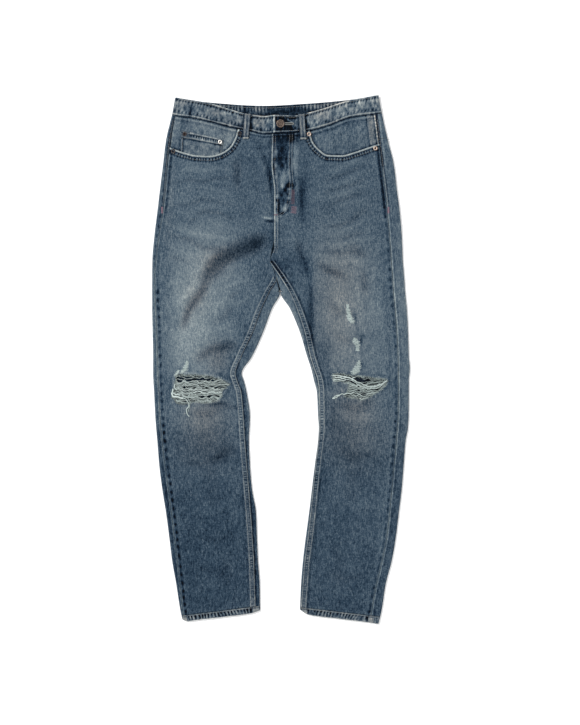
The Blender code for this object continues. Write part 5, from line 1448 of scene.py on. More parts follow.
def coin_pocket():
    share = np.concatenate([np.linspace(0.0, 17.0, 18), np.linspace(20.0, COIN_DEPTH, 14)]) / COIN_DEPTH
    edge = np.array([0, .006, .016, .03, .045, .06])
    across = np.concatenate([edge, np.linspace(0.08, 0.92, 72), 1.0 - edge[::-1]])
    share, across = np.broadcast_arrays(share[:, None], across)
    u, y = coin_grid(share, across)
    d_top, d_side = share * COIN_DEPTH, np.minimum(across, 1.0 - across) * COIN_WIDTH
    beads = dashes(u, 5.0, 112) - 0.5
    z = coin_height(u, y) + 0.45 * ease(d_top, 13.5, 11.5) - 0.4 * bell(d_top, 0.8) - 0.4 * bell(d_side, 0.8)
    z = z + 0.3 * beads * bell(d_top - 6.5, 2.5)
    tone = 0.412 + 0.04 * noise(u, y, 22.0, 111) + 0.11 * noise(u, y, 4.5, 113)
    tone = tone + bands(d_top, COIN_TOP_LINES) + bands(d_side, COIN_SIDE_LINES)
    tone = tone + 0.66 * beads * bell(d_top - 6.8, 2.2)
    tone = tone + 0.14 * noise(u, y, 6.0, 114) * ease(d_top, 14.0, 20.0) * ease(u, 140.0, 126.0)
    corner = ease(u, 186.0, 189.0) * ease(d_top, 15.0, 12.5)
    tone = mix(tone, 0.33 + 0.08 * noise(u, y, 3.0, 115), 0.8 * corner)
    cloth("coin_pocket", -u, y, z, tone, 0.35 + 0.65 * corner, LINER_WALL, [DENIM])


def front_loop(node, x_top, x_foot, y_top):
    side = LEFT if x_top > 0.0 else RIGHT
    drop = np.concatenate([[0, .01, .025, .045], np.linspace(0.07, 0.93, 38), [.955, .975, .99, 1.0]])
    half = np.array([.1, .28, .44, .58, .7, .8, .88, .95, 1.0])
    drop, across = np.broadcast_arrays(drop[:, None], np.concatenate([-half[::-1], half]))
    y = y_top - drop * LOOP_LENGTH
    x = mix(x_top, x_foot, drop) + across * LOOP_WIDTH / 2.0
    ends, upper = np.minimum(drop, 1.0 - drop) * LOOP_LENGTH, drop < 0.5
    z = loop_height(side, x, y) + CLEAR - 0.35 * bell(across - 0.05, 0.22) - 0.5 * bell(ends, 0.8)
    z = z - 0.5 * bell(1.0 - np.abs(across), 0.10) + 0.9 * bell(ends - 14.0, 6.0) * upper
    tone = 0.42 + 0.07 * noise(x, y, (3.5, 7.0), 121) + bands(across, LOOP_LINES)
    tone = tone + 0.16 * (bell(ends - 1.6, 1.6) - bell(ends - 5.2, 1.8)) * ~upper
    cloth(node, x, y, z, tone, 0.9, LOOP_WALL, [DENIM])


def flat_patch(node, corners, columns, rows, tone_of, tip=0.0, tip_at=0.5):
    """A four-cornered patch on the ground with its outer face down, and a tip on its lower edge."""
    s, t = np.broadcast_arrays(np.linspace(0, 1, rows)[:, None], np.linspace(0, 1, columns))
    a, b, c, d = np.array(corners, float)[:, :, None, None]
    x, y = mix(mix(a, b, t), mix(d, c, t), s)
    y = y + tip * s * np.clip(1.0 - np.abs(t - tip_at) / np.where(t < tip_at, tip_at, 1 - tip_at), 0, 1)
    cloth(node, x, y, np.full(x.shape, WALL), tone_of(x, y, s, t), 0.1, WALL, [DENIM])


def pocket_tone(x, y, s, t):
    """Back pockets, with a worn edge and a dark line inside it."""
    edge = np.minimum(np.minimum(s, 1 - s) * 110.0, np.minimum(t, 1 - t) * 130.0)
    return 0.34 + 0.02 * noise(x, y, 30.0, 131) + 0.14 * bell(edge, 1.6) - 0.06 * bell(edge - 5.0, 3.0)


def loop_tone(x, y, s, t):
    """Back belt loops, with worn edges."""
    return 0.36 + 0.1 * bell(np.minimum(t, 1 - t), 0.1)


def fly_patch(node, reach, low, wall, tone, material, ending="cloth"):
    """A flat strip beside the fly's lap, between its layers."""
    y, t = np.meshgrid(np.linspace(FLY_TOP, FLY_BOTTOM + 12.0, 60), np.linspace(0.0, 1.0, 16), indexing="ij")
    x = LEFT.front_line(y) + mix(*reach, t)
    tone = tone + 0.03 * noise(x, y, 12.0, 141)
    cloth(node, x, y, np.full(x.shape, low + wall), tone, 0.0, wall, [material], ending=ending)


# Build the cloth

RIMS = {side: frayed(side.opening, 1.3, 2.3, seed) for side, seed in ((RIGHT, 11), (LEFT, 12))}

for side in SIDES:
    front_panel(side, RIMS[side])
for side in SIDES:
    back_panel(side)
    yoke_panel(side)
    hem(side)
    facing(side)
waistband()
coin_pocket()
for row in FRONT_LOOPS:
    front_loop(*row)
for side in SIDES:
    top_in, top_out, foot_out, _, foot_in = [(side.sign * u, y) for u, y in BACK_POCKET]
    flat_patch("back_pocket_" + side.word, (top_in, top_out, foot_out, foot_in), 64, 60, pocket_tone,
               *BACK_POCKET_TIP)
for node, x in BACK_LOOPS:
    top, half = float(band_top_back(x)), LOOP_WIDTH / 2.0
    foot = top - LOOP_LENGTH
    corners = ((x - half, top), (x + half, top), (x + half, foot), (x - half, foot))
    flat_patch(node, corners, 9, 24, loop_tone)
SHIELD_LOW = SEAT_LIFT + WALL + CLEAR
fly_patch("fly_shield", (-8.0, 38.0), SHIELD_LOW, WALL, 0.3, DENIM)
fly_patch("fly_zip", (5.0, 31.0), SHIELD_LOW + WALL + CLEAR, ZIP_WALL, -0.1, TAPE, "tape")


# Threads: tubes and stitches gathered into joined meshes

class Bundle:
    """Many small tubes joined into one mesh."""

    def __init__(self):
        self.points, self.quads, self.tone, self.count = [], [], [], 0

    def tube(self, x, y, z, radius, sides=6, tone=0.0):
        """A closed tube along a path of points; radius is one number or one for each point."""
        path = np.stack(np.broadcast_arrays(x, y, z), 1)
        n = len(path)
        radius = np.broadcast_to(np.asarray(radius, float), (n,))
        tangent = np.gradient(path, axis=0)
        tangent /= np.linalg.norm(tangent, axis=1)[:, None] + 1e-12
        up = np.where(np.abs(tangent[:, 2:3]) > 0.9, [[1.0, 0.0, 0.0]], [[0.0, 0.0, 1.0]])
        side = np.cross(tangent, up)
        side /= np.linalg.norm(side, axis=1)[:, None] + 1e-12
        normal = np.cross(side, tangent)
        angle = np.linspace(0.0, 2.0 * math.pi, sides, endpoint=False)[None, :, None]
        ring = side[:, None] * np.cos(angle) + normal[:, None] * np.sin(angle)
        self.points += [(path[:, None] + ring * radius[:, None, None]).reshape(-1, 3), path[[0, -1]]]
        index = self.count + np.arange(n * sides).reshape(n, sides)
        after = np.roll(index, -1, axis=1)
        self.quads.append(np.stack([index[:-1], after[:-1], after[1:], index[1:]], -1).reshape(-1, 4))
        self.count += n * sides + 2
        first, last = np.full(sides, self.count - 2), np.full(sides, self.count - 1)
        self.quads.append(np.stack([first, after[0], index[0], first], -1))
        self.quads.append(np.stack([last, index[-1], after[-1], last], -1))
        self.tone.append(np.full(n * sides + 2, tone))

    def make(self, name, material):
        """The joined mesh. A quad with a doubled corner is a triangle."""
        co = np.concatenate(self.points) * MM
        faces = [q[:3] if q[0] == q[3] else q for q in np.concatenate(self.quads).tolist()]
        mesh = bpy.data.meshes.new(name)
        mesh.from_pydata(co.tolist(), [], faces)
        tone = np.concatenate(self.tone).astype(np.float32)
        mesh.attributes.new("tone", "FLOAT", "POINT").data.foreach_set("value", tone)
        mesh.shade_smooth()
        mesh.materials.append(material)
        return linked(name, mesh)


def stitch_row(bundle, xs, ys, height, tone=0.0, seed=0, radius=0.34, lift=0.18):
    """Stitches along a line: height(x, y) is the cloth's face there."""
    pitch, length = 3.6, 2.7
    total, at = route(np.stack(np.broadcast_arrays(xs, ys), 1))
    rng = np.random.RandomState(seed)
    centres = np.arange(pitch / 2.0, total - pitch / 2.0, pitch)
    x, y = at(centres[:, None] + np.array([-0.5, -0.24, 0.24, 0.5]) * length)
    z = 0.0 * x + height(x, y) + np.array([-0.35, lift, lift, -0.35])
    for path in zip(x, y, z):
        shade = tone + rng.uniform(-0.06, 0.06)
        bundle.tube(*path, [radius * 0.7, radius, radius, radius * 0.7], 5, shade)


def bartack(bundle, x, y, height, width, length, angle, tone, seed, radius=0.32, pitch=0.62):
    """A zigzag of thread across a short bar; angle, in degrees, turns it from the x axis."""
    rng = np.random.RandomState(seed)
    turns = max(3, int(length / pitch))
    cosine, sine = math.cos(math.radians(angle)), math.sin(math.radians(angle))
    for k in range(turns):
        along = (k + 0.5) / turns * length - length / 2.0
        for flip in (1.0, -1.0):
            across = np.linspace(-0.5, 0.5, 5) * width * flip
            lean = along + np.linspace(0.0, 0.5, 5) * pitch + (0.5 * pitch if flip < 0 else 0.0)
            px, py = x + lean * cosine - across * sine, y + lean * sine + across * cosine
            arch = np.array([-0.3, 0.2, 0.34, 0.2, -0.3]) + rng.uniform(-0.04, 0.04)
            bundle.tube(px, py, height(px, py) + arch, radius, 5, tone + rng.uniform(-0.12, 0.12))


def cloth_face(side):
    """The front's outer face as a function of x and y."""
    return lambda x, y: front_height(side, side.sign * x, y)


# Yarns of the rips

def smooth_walk(rng, n, cells, amount):
    """n values that wander smoothly."""
    knots = rng.uniform(-1.0, 1.0, cells + 3)
    at = np.linspace(0.5, cells + 1.5, n)
    i = at.astype(int)
    f = at - i
    return amount * mix(knots[i], knots[i + 1], f * f * (3 - 2 * f))


def span_of(outline, y):
    """Stretches of x where a line across at y lies inside an outline."""
    crossings = []
    for (ax, ay), (bx, by) in zip(outline, outline[1:] + outline[:1]):
        if (ay > y) != (by > y):
            crossings.append(ax + (bx - ax) * (y - ay) / (by - ay))
    crossings.sort()
    return list(zip(crossings[::2], crossings[1::2]))


def weft_yarn(bundle, side, start, end, level, sway, sway_seed, sag, bright, rng):
    """One loose weft yarn across an opening from start to end, with its ends tucked under the cloth."""
    turned = [(y, x) for x, y in side.opening]
    reach, gap = 3.0, end - start
    n = max(12, int((gap + 2 * reach) / 1.5))
    x, t = np.linspace(start - reach, end + reach, n), np.linspace(0.0, 1.0, n)
    to_end = np.minimum(t, 1 - t) * (gap + 2 * reach)
    free = np.clip((to_end - reach) / 5.0, 0.0, 1.0)
    own = smooth_walk(rng, n, max(3, int(gap / 5.0)), 1.15)
    droop = sag * np.sin(math.pi * np.clip((x - start) / gap, 0.0, 1.0)) ** 1.5
    y = level + free * (sway * noise(x, np.zeros(n), 6.4, sway_seed) + own - droop)
    for k in np.nonzero(free > 0.0)[0]:
        room = span_of(turned, x[k])
        if room:
            y[k] = np.clip(y[k], room[0][0] + 0.5, room[-1][1] - 0.5)
    lift = smooth_walk(rng, n, max(3, int(gap / 8.0)), 0.8) + rng.uniform(-0.4, 0.9)
    z = front_plain(side, side.sign * x, y) - 0.8 + free * lift - 1.3 * np.clip(1.0 - to_end / 3.0, 0.0, 1.0)
    radius = rng.uniform(0.26, 0.5) * (1.0 + 0.3 * smooth_walk(rng, n, max(4, n // 4), 1.0))
    bundle.tube(x, y, z, radius, 6, bright + rng.uniform(-0.14, 0.16))


def weft_yarns(bundle, side, low, high, pitch, sag, seed):
    """Loose weft yarns across an opening, in clumps that sway together and leave dark gaps."""
    rng = np.random.RandomState(seed)
    level = low
    sway_seed = rng.randint(1, 9999)
    while level < high:
        strands = rng.randint(1, 4)
        sway = 3.0 * rng.uniform(0.6, 1.3)
        bright = rng.uniform(0.05, 0.27) if side is RIGHT else rng.uniform(-0.02, 0.22)
        if rng.rand() < 0.35:
            sway_seed = rng.randint(1, 9999)
        for strand in range(strands):
            at = level + strand * 0.75
            for start, end in span_of(side.opening, at):
                if end - start >= 6.0:
                    weft_yarn(bundle, side, start, end, at, sway, sway_seed, sag, bright, rng)
        level += strands * 0.7 + rng.uniform(0.8, 1.9) * pitch


def stray_fibres(bundle, side, outline, seed):
    """Thin curled fibres at the edge of an opening."""
    rng = np.random.RandomState(seed)
    total, place = route(outline + outline[:1])
    s = np.linspace(0.0, 1.0, 9)
    for _ in range(90):
        px, py = place(rng.uniform(0.0, total))
        length, angle = rng.uniform(3.0, 9.0), rng.uniform(0.0, 2.0 * math.pi)
        turn = angle + rng.uniform(-1.8, 1.8) * s
        x, y = px + length * s * np.cos(turn), py + 0.7 * length * s * np.sin(turn)
        z = front_height(side, side.sign * x, y) + 0.25 + 0.8 * np.sin(math.pi * s) * rng.uniform(0.2, 1.0)
        bundle.tube(x, y, z, rng.uniform(0.1, 0.2), 4, rng.uniform(-0.3, 0.25))


def edge_fringe(bundle, side, outline, seed):
    """Short yarn ends all round an opening, pointing into it."""
    rng = np.random.RandomState(seed)
    step = 1.5
    total, place = route(outline + outline[:1])
    centre = np.mean(outline, axis=0)
    s = np.linspace(-0.6, 1.0, 6)
    for at in np.arange(0.0, total, step):
        px, py = place(at + rng.uniform(-0.5, 0.5) * step)
        toward = (centre - (px, py)) * (0.25, 1.0)
        toward /= np.linalg.norm(toward) + 1e-9
        length, sway = rng.uniform(1.5, 4.5), rng.uniform(-1.2, 1.2)
        x, y = px + toward[0] * length * s + sway * s ** 2, py + toward[1] * length * s
        z = front_height(side, side.sign * x, y) - 0.1 - 0.9 * np.clip(s, 0, 1) ** 2 + 0.3 * (s < 0)
        bundle.tube(x, y, z, rng.uniform(0.2, 0.36), 5, rng.uniform(-0.3, 0.15))


def worn_patch(bundle, side, path, widths, seed):
    """Short light weft yarns lying where the warp has worn away."""
    rng = np.random.RandomState(seed)
    total, place = route(path)
    run = [route(path[:i + 1])[0] if i else 0.0 for i in range(len(path))]
    t = np.linspace(-1.0, 1.0, 12)
    for at in np.arange(0.0, total, 0.85):
        cx, cy = place(at)
        half = np.interp(at, run, widths) * rng.uniform(0.4, 1.2)
        x = cx + half * t + rng.uniform(-1.2, 1.2)
        y = cy + smooth_walk(rng, 12, 4, 1.1)
        arch = (1.0 - t ** 2) * rng.uniform(0.25, 0.9)
        z = front_height(side, side.sign * x, y) - 0.15 + arch
        bundle.tube(x, y, z, rng.uniform(0.36, 0.6), 6, rng.uniform(-0.02, 0.25))


def loose_yarn(bundle, side, radius, tone, seed, points):
    """A yarn end lying loose on the cloth along a few points."""
    rng = np.random.RandomState(seed)
    total, at = route(points, smooth=True)
    n, bends = max(12, int(total / 1.3)), max(6, int(total / 5.0))
    x, y = at(np.linspace(0.0, total, n))
    x, y = x + smooth_walk(rng, n, bends, 0.6), y + smooth_walk(rng, n, bends, 1.0)
    z = front_height(side, side.sign * x, y) + radius + 0.25 + smooth_walk(rng, n, 5, 0.2)
    bundle.tube(x, y, z, radius * (1.0 + smooth_walk(rng, n, 8, 0.2)), 7, tone)


# Levels of the weft across each rip: low, high, pitch, sag
WEFT_LEVELS = {
    RIGHT: ((-90.0, -45.5, 1.0, 0.0), (-42.6, -41.0, 0.9, 0.0), (-36.4, -33.6, 1.2, 0.0)),
    LEFT: ((-81.0, -50.0, 1.0, 3.0), (-49.0, -44.0, 0.9, 9.0), (-43.0, -39.6, 0.7, 11.0)),
}
# Light patches where only the weft is left: points, half widths
WORN = (
    (((137, 112), (138, 97), (142, 84), (147, 74)), (2.0, 4.4, 6.4, 5.0)),
    (((150, 44), (154, 37), (157, 29), (158, 17)), (2.4, 6.5, 5.5, 3.2)),
    (((161, -3), (158, -12), (154, -22), (150, -30)), (2.5, 6.0, 8.0, 9.0)),
    (((-192, -4), (-194, -12), (-197, -20), (-203, -28)), (2.0, 4.6, 6.0, 4.0)),
    (((-210, -22), (-213, -27), (-216, -33)), (1.6, 3.6, 3.0)),
)
# Yarn ends on the cloth: side, radius, tone, seed, points
LOOSE_YARNS = (
    (RIGHT, 0.95, 0.12, 301,
        ((-202, -77), (-192, -85), (-189, -95), (-194, -104), (-193, -111), (-188, -117))),
    (RIGHT, 0.6, 0.05, 302, ((-192, -78), (-186, -88), (-188, -97), (-190, -107))),
    (RIGHT, 1.8, 0.26, 303, ((-224, -68), (-221, -75), (-211, -77), (-200, -79))),
    (RIGHT, 1.5, 0.2, 312, ((-221, -60), (-222, -67), (-214, -72), (-206, -72))),
    (RIGHT, 1.2, 0.16, 313, ((-217, -50), (-219, -57), (-212, -63))),
    (RIGHT, 0.7, -0.2, 304, ((-219, -82), (-212, -90), (-200, -91), (-190, -88))),
    (LEFT, 0.9, 0.15, 305, ((150, -68), (136, -70), (120, -72), (105, -79))),
    (LEFT, 1.0, 0.2, 306,
        ((106, -33), (122, -34), (142, -39), (166, -50), (188, -56), (204, -52), (217, -44))),
    (LEFT, 0.8, 0.14, 307, ((107, -42), (124, -40), (144, -43), (166, -56), (190, -60), (214, -47))),
    (LEFT, 0.8, 0.26, 308, ((107, -34), (118, -37), (130, -34), (141, -38), (152, -37))),
    (LEFT, 0.9, 0.2, 309, ((106, -38), (116, -36), (126, -39), (138, -37), (150, -42))),
    (LEFT, 0.8, 0.24, 314, ((107, -42), (115, -40), (124, -43), (133, -41))),
    (LEFT, 0.6, 0.1, 315, ((107, -45), (114, -44), (122, -45))),
    (LEFT, 0.45, 0.0, 316, ((140, -33), (152, -36), (160, -34), (172, -38))),
    (LEFT, 0.4, -0.05, 317, ((164, -35), (170, -41), (178, -38), (186, -42), (194, -39), (204, -43))),
    (LEFT, 1.0, 0.2, 310, ((105, -80), (112, -78), (120, -74))),
    (LEFT, 0.5, -0.1, 311, ((150, -46), (170, -47), (192, -41), (214, -38))),
)

yarns = {RIGHT: Bundle(), LEFT: Bundle()}
for side, seed in ((RIGHT, 21), (LEFT, 22)):
    for levels in WEFT_LEVELS[side]:
        weft_yarns(yarns[side], side, *levels, seed)
    edge_fringe(yarns[side], side, RIMS[side], seed + 10)
    stray_fibres(yarns[side], side, RIMS[side], seed + 20)
for k, (path, widths) in enumerate(WORN):
    side = LEFT if path[0][0] > 0 else RIGHT
    worn_patch(yarns[side], side, path, widths, 200 + k)
for side, *row in LOOSE_YARNS:
    loose_yarn(yarns[side], side, *row)
for side in SIDES:
    node = "rip_threads_" + side.word
    made[node] = yarns[side].make(node + "_yarns", WEFT)


# Stitching

seams, tacks = Bundle(), Bundle()


def back_face(side):
    """The upper face of the back's strip outside the outseam, as a function of x and y."""
    def height(x, y):
        u = side.sign * x
        return upper_face(side, u, y) + 0.45 * bell(u - side.outseam(y) - 2.6, 1.5)
    return height


def side_stitches(side, seed):
    """Inseam, hip, pocket mouth and hem of one side, with its yoke underneath."""
    face = cloth_face(side)
    y = np.arange(side.inseam_top - 4.0, side.hem_level + 2.0, -2.0)
    for offset, tone in ((-3.9, 0.12), (4.3, 0.16)):
        stitch_row(seams, side.sign * (side.front_line(y) + offset), y, face, tone, seed)

    y = np.arange(492.0, 312.0, -2.0)
    stitch_row(seams, side.sign * (side.outseam(y) + 2.6), y, back_face(side), 0.05, seed + 1)
    tack_y = 306.0
    tack_x = side.sign * (float(side.outseam(tack_y)) + 2.4)
    bartack(tacks, tack_x, tack_y, back_face(side), 3.6, 13.0, 90.0, 0.0, seed)

    path = np.array(side.mouth_path)
    tangent = np.gradient(path, axis=0)
    tangent /= np.linalg.norm(tangent, axis=1)[:, None]
    for depth, tone in ((2.2, 0.12), (9.2, 0.0)):
        u, y = path[:, 0] + tangent[:, 1] * depth, path[:, 1] - tangent[:, 0] * depth
        shown = (u < side.outseam(y) - 1.5) & (y < waist_seam_front(side.sign * u) - 1.0)
        stitch_row(seams, side.sign * u[shown], y[shown], face, tone, seed + 2)

    u = np.arange(side.inner(-515.0) + 4.0, side.outer(-525.0) - 3.0, 2.0)
    stitch_row(seams, side.sign * u, side.hem_seam(u) - 2.0,
               lambda px, py: upper_face(side, side.sign * px, py) + 0.05, -0.02, seed + 3)
    u = np.arange(6.0, 232.0, 2.0)
    for offset in (-2.0, -7.5):
        stitch_row(seams, side.sign * u, yoke_seam(u) + offset, lambda px, py: ground_lift(py) - 0.12,
                   0.1, seed + 4, radius=0.3, lift=-0.15)


def fly_stitches():
    """Edge rows of the fly, its curved double row and its tacks."""
    face = cloth_face(LEFT)
    y = np.arange(458.0, 215.0, -2.0)
    for offset, tone in ((2.4, 0.18), (7.0, 0.05)):
        stitch_row(seams, LEFT.front_line(y) + offset, y, face, tone, 471)
    for shift in (0.0, 5.2):
        points = ((18.0 + shift, 462), (17.5 + shift, 420), (18.0 + shift, 380), (17.0 + shift, 345),
                  (13.0 + shift * 0.9, 322), (6.0 + shift * 0.5, 306 - shift * 0.6),
                  (-4.0, 298 - shift * 0.8), (-11.0, 295.5 - shift))
        total, at = route(points, smooth=True)
        stitch_row(seams, *at(np.arange(0.0, total, 2.0)), face, 0.0, 472)
    bartack(tacks, 26.0, 305.5, face, 12.5, 15.0, 84.0, 0.0, 473, 0.38, 2.6)
    bartack(tacks, 24.6, 332.0, face, 8.5, 30.0, 88.0, -0.34, 474, 0.4, 2.6)
    bartack(tacks, -11.0, 296.5, face, 2.4, 7.0, 0.0, -0.2, 475)


def band_stitches():
    """Rows along the waistband's edges, across its end and along its back."""
    def on_lap(px, py):
        return band_face(px) + 0.1

    for offset, line in ((-3.2, band_top_front), (3.4, waist_seam_front)):
        x = np.arange(-206.0, OVERLAP_END - 2.0, 2.0)
        stitch_row(seams, x, line(x) + offset, lambda px, py: BAND_FACE + 0.15, 0.08, 481)
        x = np.arange(OVERLAP_END + 2.5, 190.0, 2.0)
        stitch_row(seams, x, line(x) + offset, on_lap, 0.1, 482)
    stitch_row(seams, OVERLAP_END + 3.0, np.arange(497.0, 467.0, -1.5), on_lap, 0.1, 483)
    x = np.arange(-128.0, 120.0, 2.0)
    stitch_row(seams, x, band_top_back(x) - 4.5, lambda px, py: SEAT_LIFT + BAND_WALL + 0.05, 0.1, 484)


def pocket_stitches():
    """Top and sides of the coin pocket, and the strip of the left facing."""
    across = np.linspace(0.03, 0.97, 60)
    for share in (0.045, 0.19):
        u, y = coin_grid(share, across)
        stitch_row(seams, -u, y, lambda px, py: coin_height(-px, py) + 0.45, 0.08, 491)
    share = np.linspace(0.05, 0.62, 30)
    for across in (0.035, 0.965):
        u, y = coin_grid(share, across)
        stitch_row(seams, -u, y, lambda px, py: coin_height(-px, py) + 0.1, 0.0, 492)
    y = np.arange(494.0, 450.0, -2.0)
    for offset in (-14.0, -11.5):
        stitch_row(seams, LEFT.outseam(y) + offset, y,
                   lambda px, py: facing_height(LEFT, px, py) + 0.4, -0.05, 493)


def loop_stitches(x_top, x_foot, y_top):
    """Edge rows and end tacks of a front belt loop."""
    side = LEFT if x_top > 0.0 else RIGHT

    def on_loop(px, py):
        return loop_height(side, px, py) + CLEAR

    y = np.arange(y_top - 3.0, y_top - LOOP_LENGTH + 3.0, -1.6)
    centre = mix(x_top, x_foot, (y_top - y) / LOOP_LENGTH)
    for offset in (-4.4, 4.4):
        stitch_row(seams, centre + offset, y, on_loop, -0.34, 495)
    bartack(seams, x_top, y_top - 2.4, on_loop, 1.6, LOOP_WIDTH - 2.5, 0.0, -0.05, 496)
    bartack(seams, x_foot, y_top - LOOP_LENGTH + 2.6, on_loop, 1.8, LOOP_WIDTH - 2.5, 0.0, 0.14, 497)


def buttonhole_stitches():
    """A row of close stitches round the keyhole, each across its edge."""
    (cx, cy), slit_end = BUTTON, 24.6
    # x, y and direction of each stitch: round the eye, along the slit and round its end
    rows = [(cx + 4.6 * math.cos(a), cy + 4.6 * math.sin(a), math.cos(a), math.sin(a))
            for a in np.radians(np.linspace(20.0, 340.0, 30))]
    rows += [(x, cy + sign * 1.7, 0.0, sign) for sign in (1.0, -1.0) for x in np.arange(4.4, slit_end, 0.62)]
    rows += [(slit_end + 1.2 * math.cos(a), cy + 1.6 * math.sin(a), math.cos(a), math.sin(a))
             for a in np.radians(np.linspace(-70, 70, 6))]
    rng = np.random.RandomState(498)
    s = np.linspace(-0.9, 0.9, 5)
    for px, py, nx, ny in rows:
        x, y = px + nx * s, py + ny * s
        z = band_face(x) + 0.1 + np.array([-0.3, 0.22, 0.36, 0.22, -0.3])
        seams.tube(x, y, z, 0.33, 5, 0.05 + rng.uniform(-0.06, 0.06))


for side, seed in ((RIGHT, 401), (LEFT, 451)):
    side_stitches(side, seed)
fly_stitches()
band_stitches()
pocket_stitches()
for _, *loop in FRONT_LOOPS:
    loop_stitches(*loop)
buttonhole_stitches()
extras = [seams.make("topstitching", TOPSTITCH), tacks.make("bartacks", TACK)]


# Button and rivets

BUTTON_PROFILE = (
    (0.3, 2.25), (1.3, 2.2), (1.8, 1.5), (2.4, 1.4), (2.8, 2.2), (4.3, 2.15), (4.9, 1.2), (5.6, 1.6),
    (6.3, 2.8), (7.2, 3.0), (7.9, 2.75), (8.35, 2.2), (8.5, 1.5), (8.2, 0.7), (7.6, 0.3), (3.2, 0.2),
    (3.0, -2.7), (0.3, -2.7),
)
RIVET_HOLLOW = {"copper": 0.5, "steel": 0.38, "beige": 0.44}


def crimp(radius, angle):
    """The button's ring of crimps."""
    return 0.28 * np.sin(angle * 14.0) * (2.4 < radius < 5.0)


def lathe(name, profile, centre, base, material, steps=56, knurl=None, dark=0):
    """A round piece turned from (radius, height) points, tops first; its first dark rows are dull."""
    angle = np.linspace(0.0, 2.0 * math.pi, steps, endpoint=False)
    rows = []
    for radius, height in profile:
        z = base + height + (knurl(radius, angle) if knurl else 0.0) + 0.0 * angle
        rows.append(np.stack([centre.x + radius * np.cos(angle), centre.y + radius * np.sin(angle), z], 1))
    index = np.arange(len(profile) * steps).reshape(-1, steps)
    after = np.roll(index, -1, axis=1)
    quads = np.stack([index[:-1], index[1:], after[1:], after[:-1]], -1).reshape(-1, 4).tolist()
    mesh = bpy.data.meshes.new(name)
    faces = [index[0].tolist()] + quads + [index[-1][::-1].tolist()]
    mesh.from_pydata((np.concatenate(rows) * MM).tolist(), [], faces)
    mesh.validate()
    mesh.shade_smooth()
    for item in (material, PATINA):
        mesh.materials.append(item)
    if dark:
        for face in mesh.polygons[:1 + dark * steps]:
            face.material_index = 1
    obj = linked(name, mesh)
    smooth = obj.modifiers.new("Edges", "BEVEL")
    smooth.width, smooth.segments, smooth.limit_method = 0.08 * MM, 1, "ANGLE"
    return obj


def box_of(node):
    """Middle and corners of a solid's box, in millimetres."""
    low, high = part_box(node)
    return (low + high) / 2.0 / MM, low / MM, high / MM


middle, low, high = box_of("waist_button")
made["waist_button"] = lathe("waist_button_turned", BUTTON_PROFILE, middle, high.z - 3.0, BUTTON_METAL,
                             84, crimp)
for node, metal in RIVETS.items():
    middle, low, high = box_of(node)
    r = (high.x - low.x) / 2.0
    hollow = RIVET_HOLLOW[metal] * r
    profile = ((0.15, 0.2), (0.8 * hollow, 0.2), (hollow, 0.7), (1.12 * hollow, 1.15), (0.68 * r, 1.4),
               (0.84 * r, 1.3), (0.95 * r, 0.9), (r, 0.4), (0.98 * r, 0.0), (0.2, 0.0))
    made[node] = lathe(node + "_head", profile, middle, low.z, RIVET_METALS[metal], dark=2)


# Roles in the frame

for node, obj in made.items():
    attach(obj, "root")
    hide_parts(node)
for obj in extras:
    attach(obj, "root")


# Floor, light and camera

FLOOR_SIZE, FLOOR_LEVEL = 6.0, -0.0006

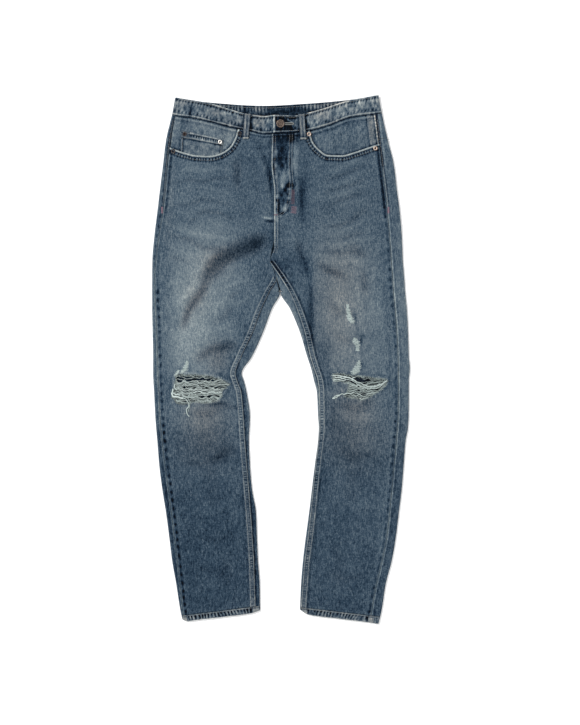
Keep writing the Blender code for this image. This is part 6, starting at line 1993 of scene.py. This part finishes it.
paper = Tree("paper")
greys = [(0.3, (0.93, 0.93, 0.93, 1.0)), (0.7, (0.96, 0.96, 0.96, 1.0))]
fibres = paper.ramp(paper.noise(120.0, 3.0, 0.6), greys)
paper.fill(paper.shader, {"Roughness": 0.9, "Specular IOR Level": 0.05, "Base Color": fibres})
floor_mesh = bpy.data.meshes.new("floor")
corners = [(x * FLOOR_SIZE, y * FLOOR_SIZE, 0.0) for x, y in ((-1, -1), (1, -1), (1, 1), (-1, 1))]
floor_mesh.from_pydata(corners, [], [(0, 1, 2, 3)])
floor_mesh.materials.append(paper.material)
floor = linked("floor", floor_mesh)
floor.location.z = FLOOR_LEVEL
floor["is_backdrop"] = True

# Each sheet: width, length, area, and what it rests on
SHEETS = {
    "front_right": (0.245, 0.996, 0.1765, ["back_right", "pocket_facing_right"]),
    "front_left": (0.250, 0.996, 0.1771, ["back_left", "fly_shield"]),
    "back_right": (0.330, 0.960, 0.2265, ["floor"]),
    "back_left": (0.330, 0.960, 0.2311, ["floor"]),
    "yoke_right": (0.262, 0.078, 0.0134, ["floor"]),
    "yoke_left": (0.248, 0.080, 0.0143, ["floor"]),
    "waistband": (0.890, 0.037, 0.0321, ["front_right", "front_left", "belt_loop_back_centre"]),
    "hem_right": (0.327, 0.0165, 0.0040, ["floor"]),
    "hem_left": (0.335, 0.0165, 0.0045, ["floor"]),
    "pocket_facing_right": (0.150, 0.105, 0.0125, ["back_right"]),
    "pocket_facing_left": (0.160, 0.100, 0.0127, ["back_left"]),
    "coin_pocket": (0.088, 0.067, 0.0052, ["pocket_facing_right"]),
    "back_pocket_right": (0.142, 0.142, 0.0169, ["floor"]),
    "back_pocket_left": (0.142, 0.142, 0.0169, ["floor"]),
    "fly_shield": (0.046, 0.149, 0.00685, ["back_left"]),
    "fly_zip": (0.026, 0.149, 0.00387, ["fly_shield"]),
    "belt_loop_front_right": (0.0138, 0.0535, 0.00072, ["waistband"]),
    "belt_loop_front_left": (0.0138, 0.0535, 0.00072, ["waistband"]),
    "belt_loop_back_right": (0.0136, 0.052, 0.0007, ["floor"]),
    "belt_loop_back_centre": (0.0136, 0.052, 0.0007, ["floor"]),
    "belt_loop_back_left": (0.0136, 0.052, 0.0007, ["floor"]),
}
for node, (width, length, area, rests) in SHEETS.items():
    rests = [floor if name == "floor" else made[name] for name in rests]

world = bpy.data.worlds.new("studio")
bpy.context.scene.world = world
world.use_nodes = True
background = world.node_tree.nodes["Background"].inputs
background["Color"].default_value = (1.0, 1.0, 1.0, 1.0)
background["Strength"].default_value = 0.86


def area_light(name, place, power, width):
    """A round light aimed at the middle of the floor."""
    data = bpy.data.lights.new(name, "AREA")
    data.energy, data.shape, data.size = power, "DISK", width
    light = linked(name, data)
    light.location = place
    light.rotation_euler = (-Vector(place)).to_track_quat("-Z", "Y").to_euler()


area_light("key", (-4.0, 2.9, 5.2), 430.0, 1.5)
area_light("fill", (3.0, -2.6, 5.0), 60.0, 3.0)

camera_data = bpy.data.cameras.new("camera")
camera_data.lens, camera_data.sensor_width = 85.0, 36.0
camera_data.clip_end = 20.0
camera = linked("camera", camera_data)
camera.location = (0.01845, -0.00615, 3.516)
bpy.context.scene.camera = camera
bpy.context.scene.view_settings.view_transform = "Standard"

low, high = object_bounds()
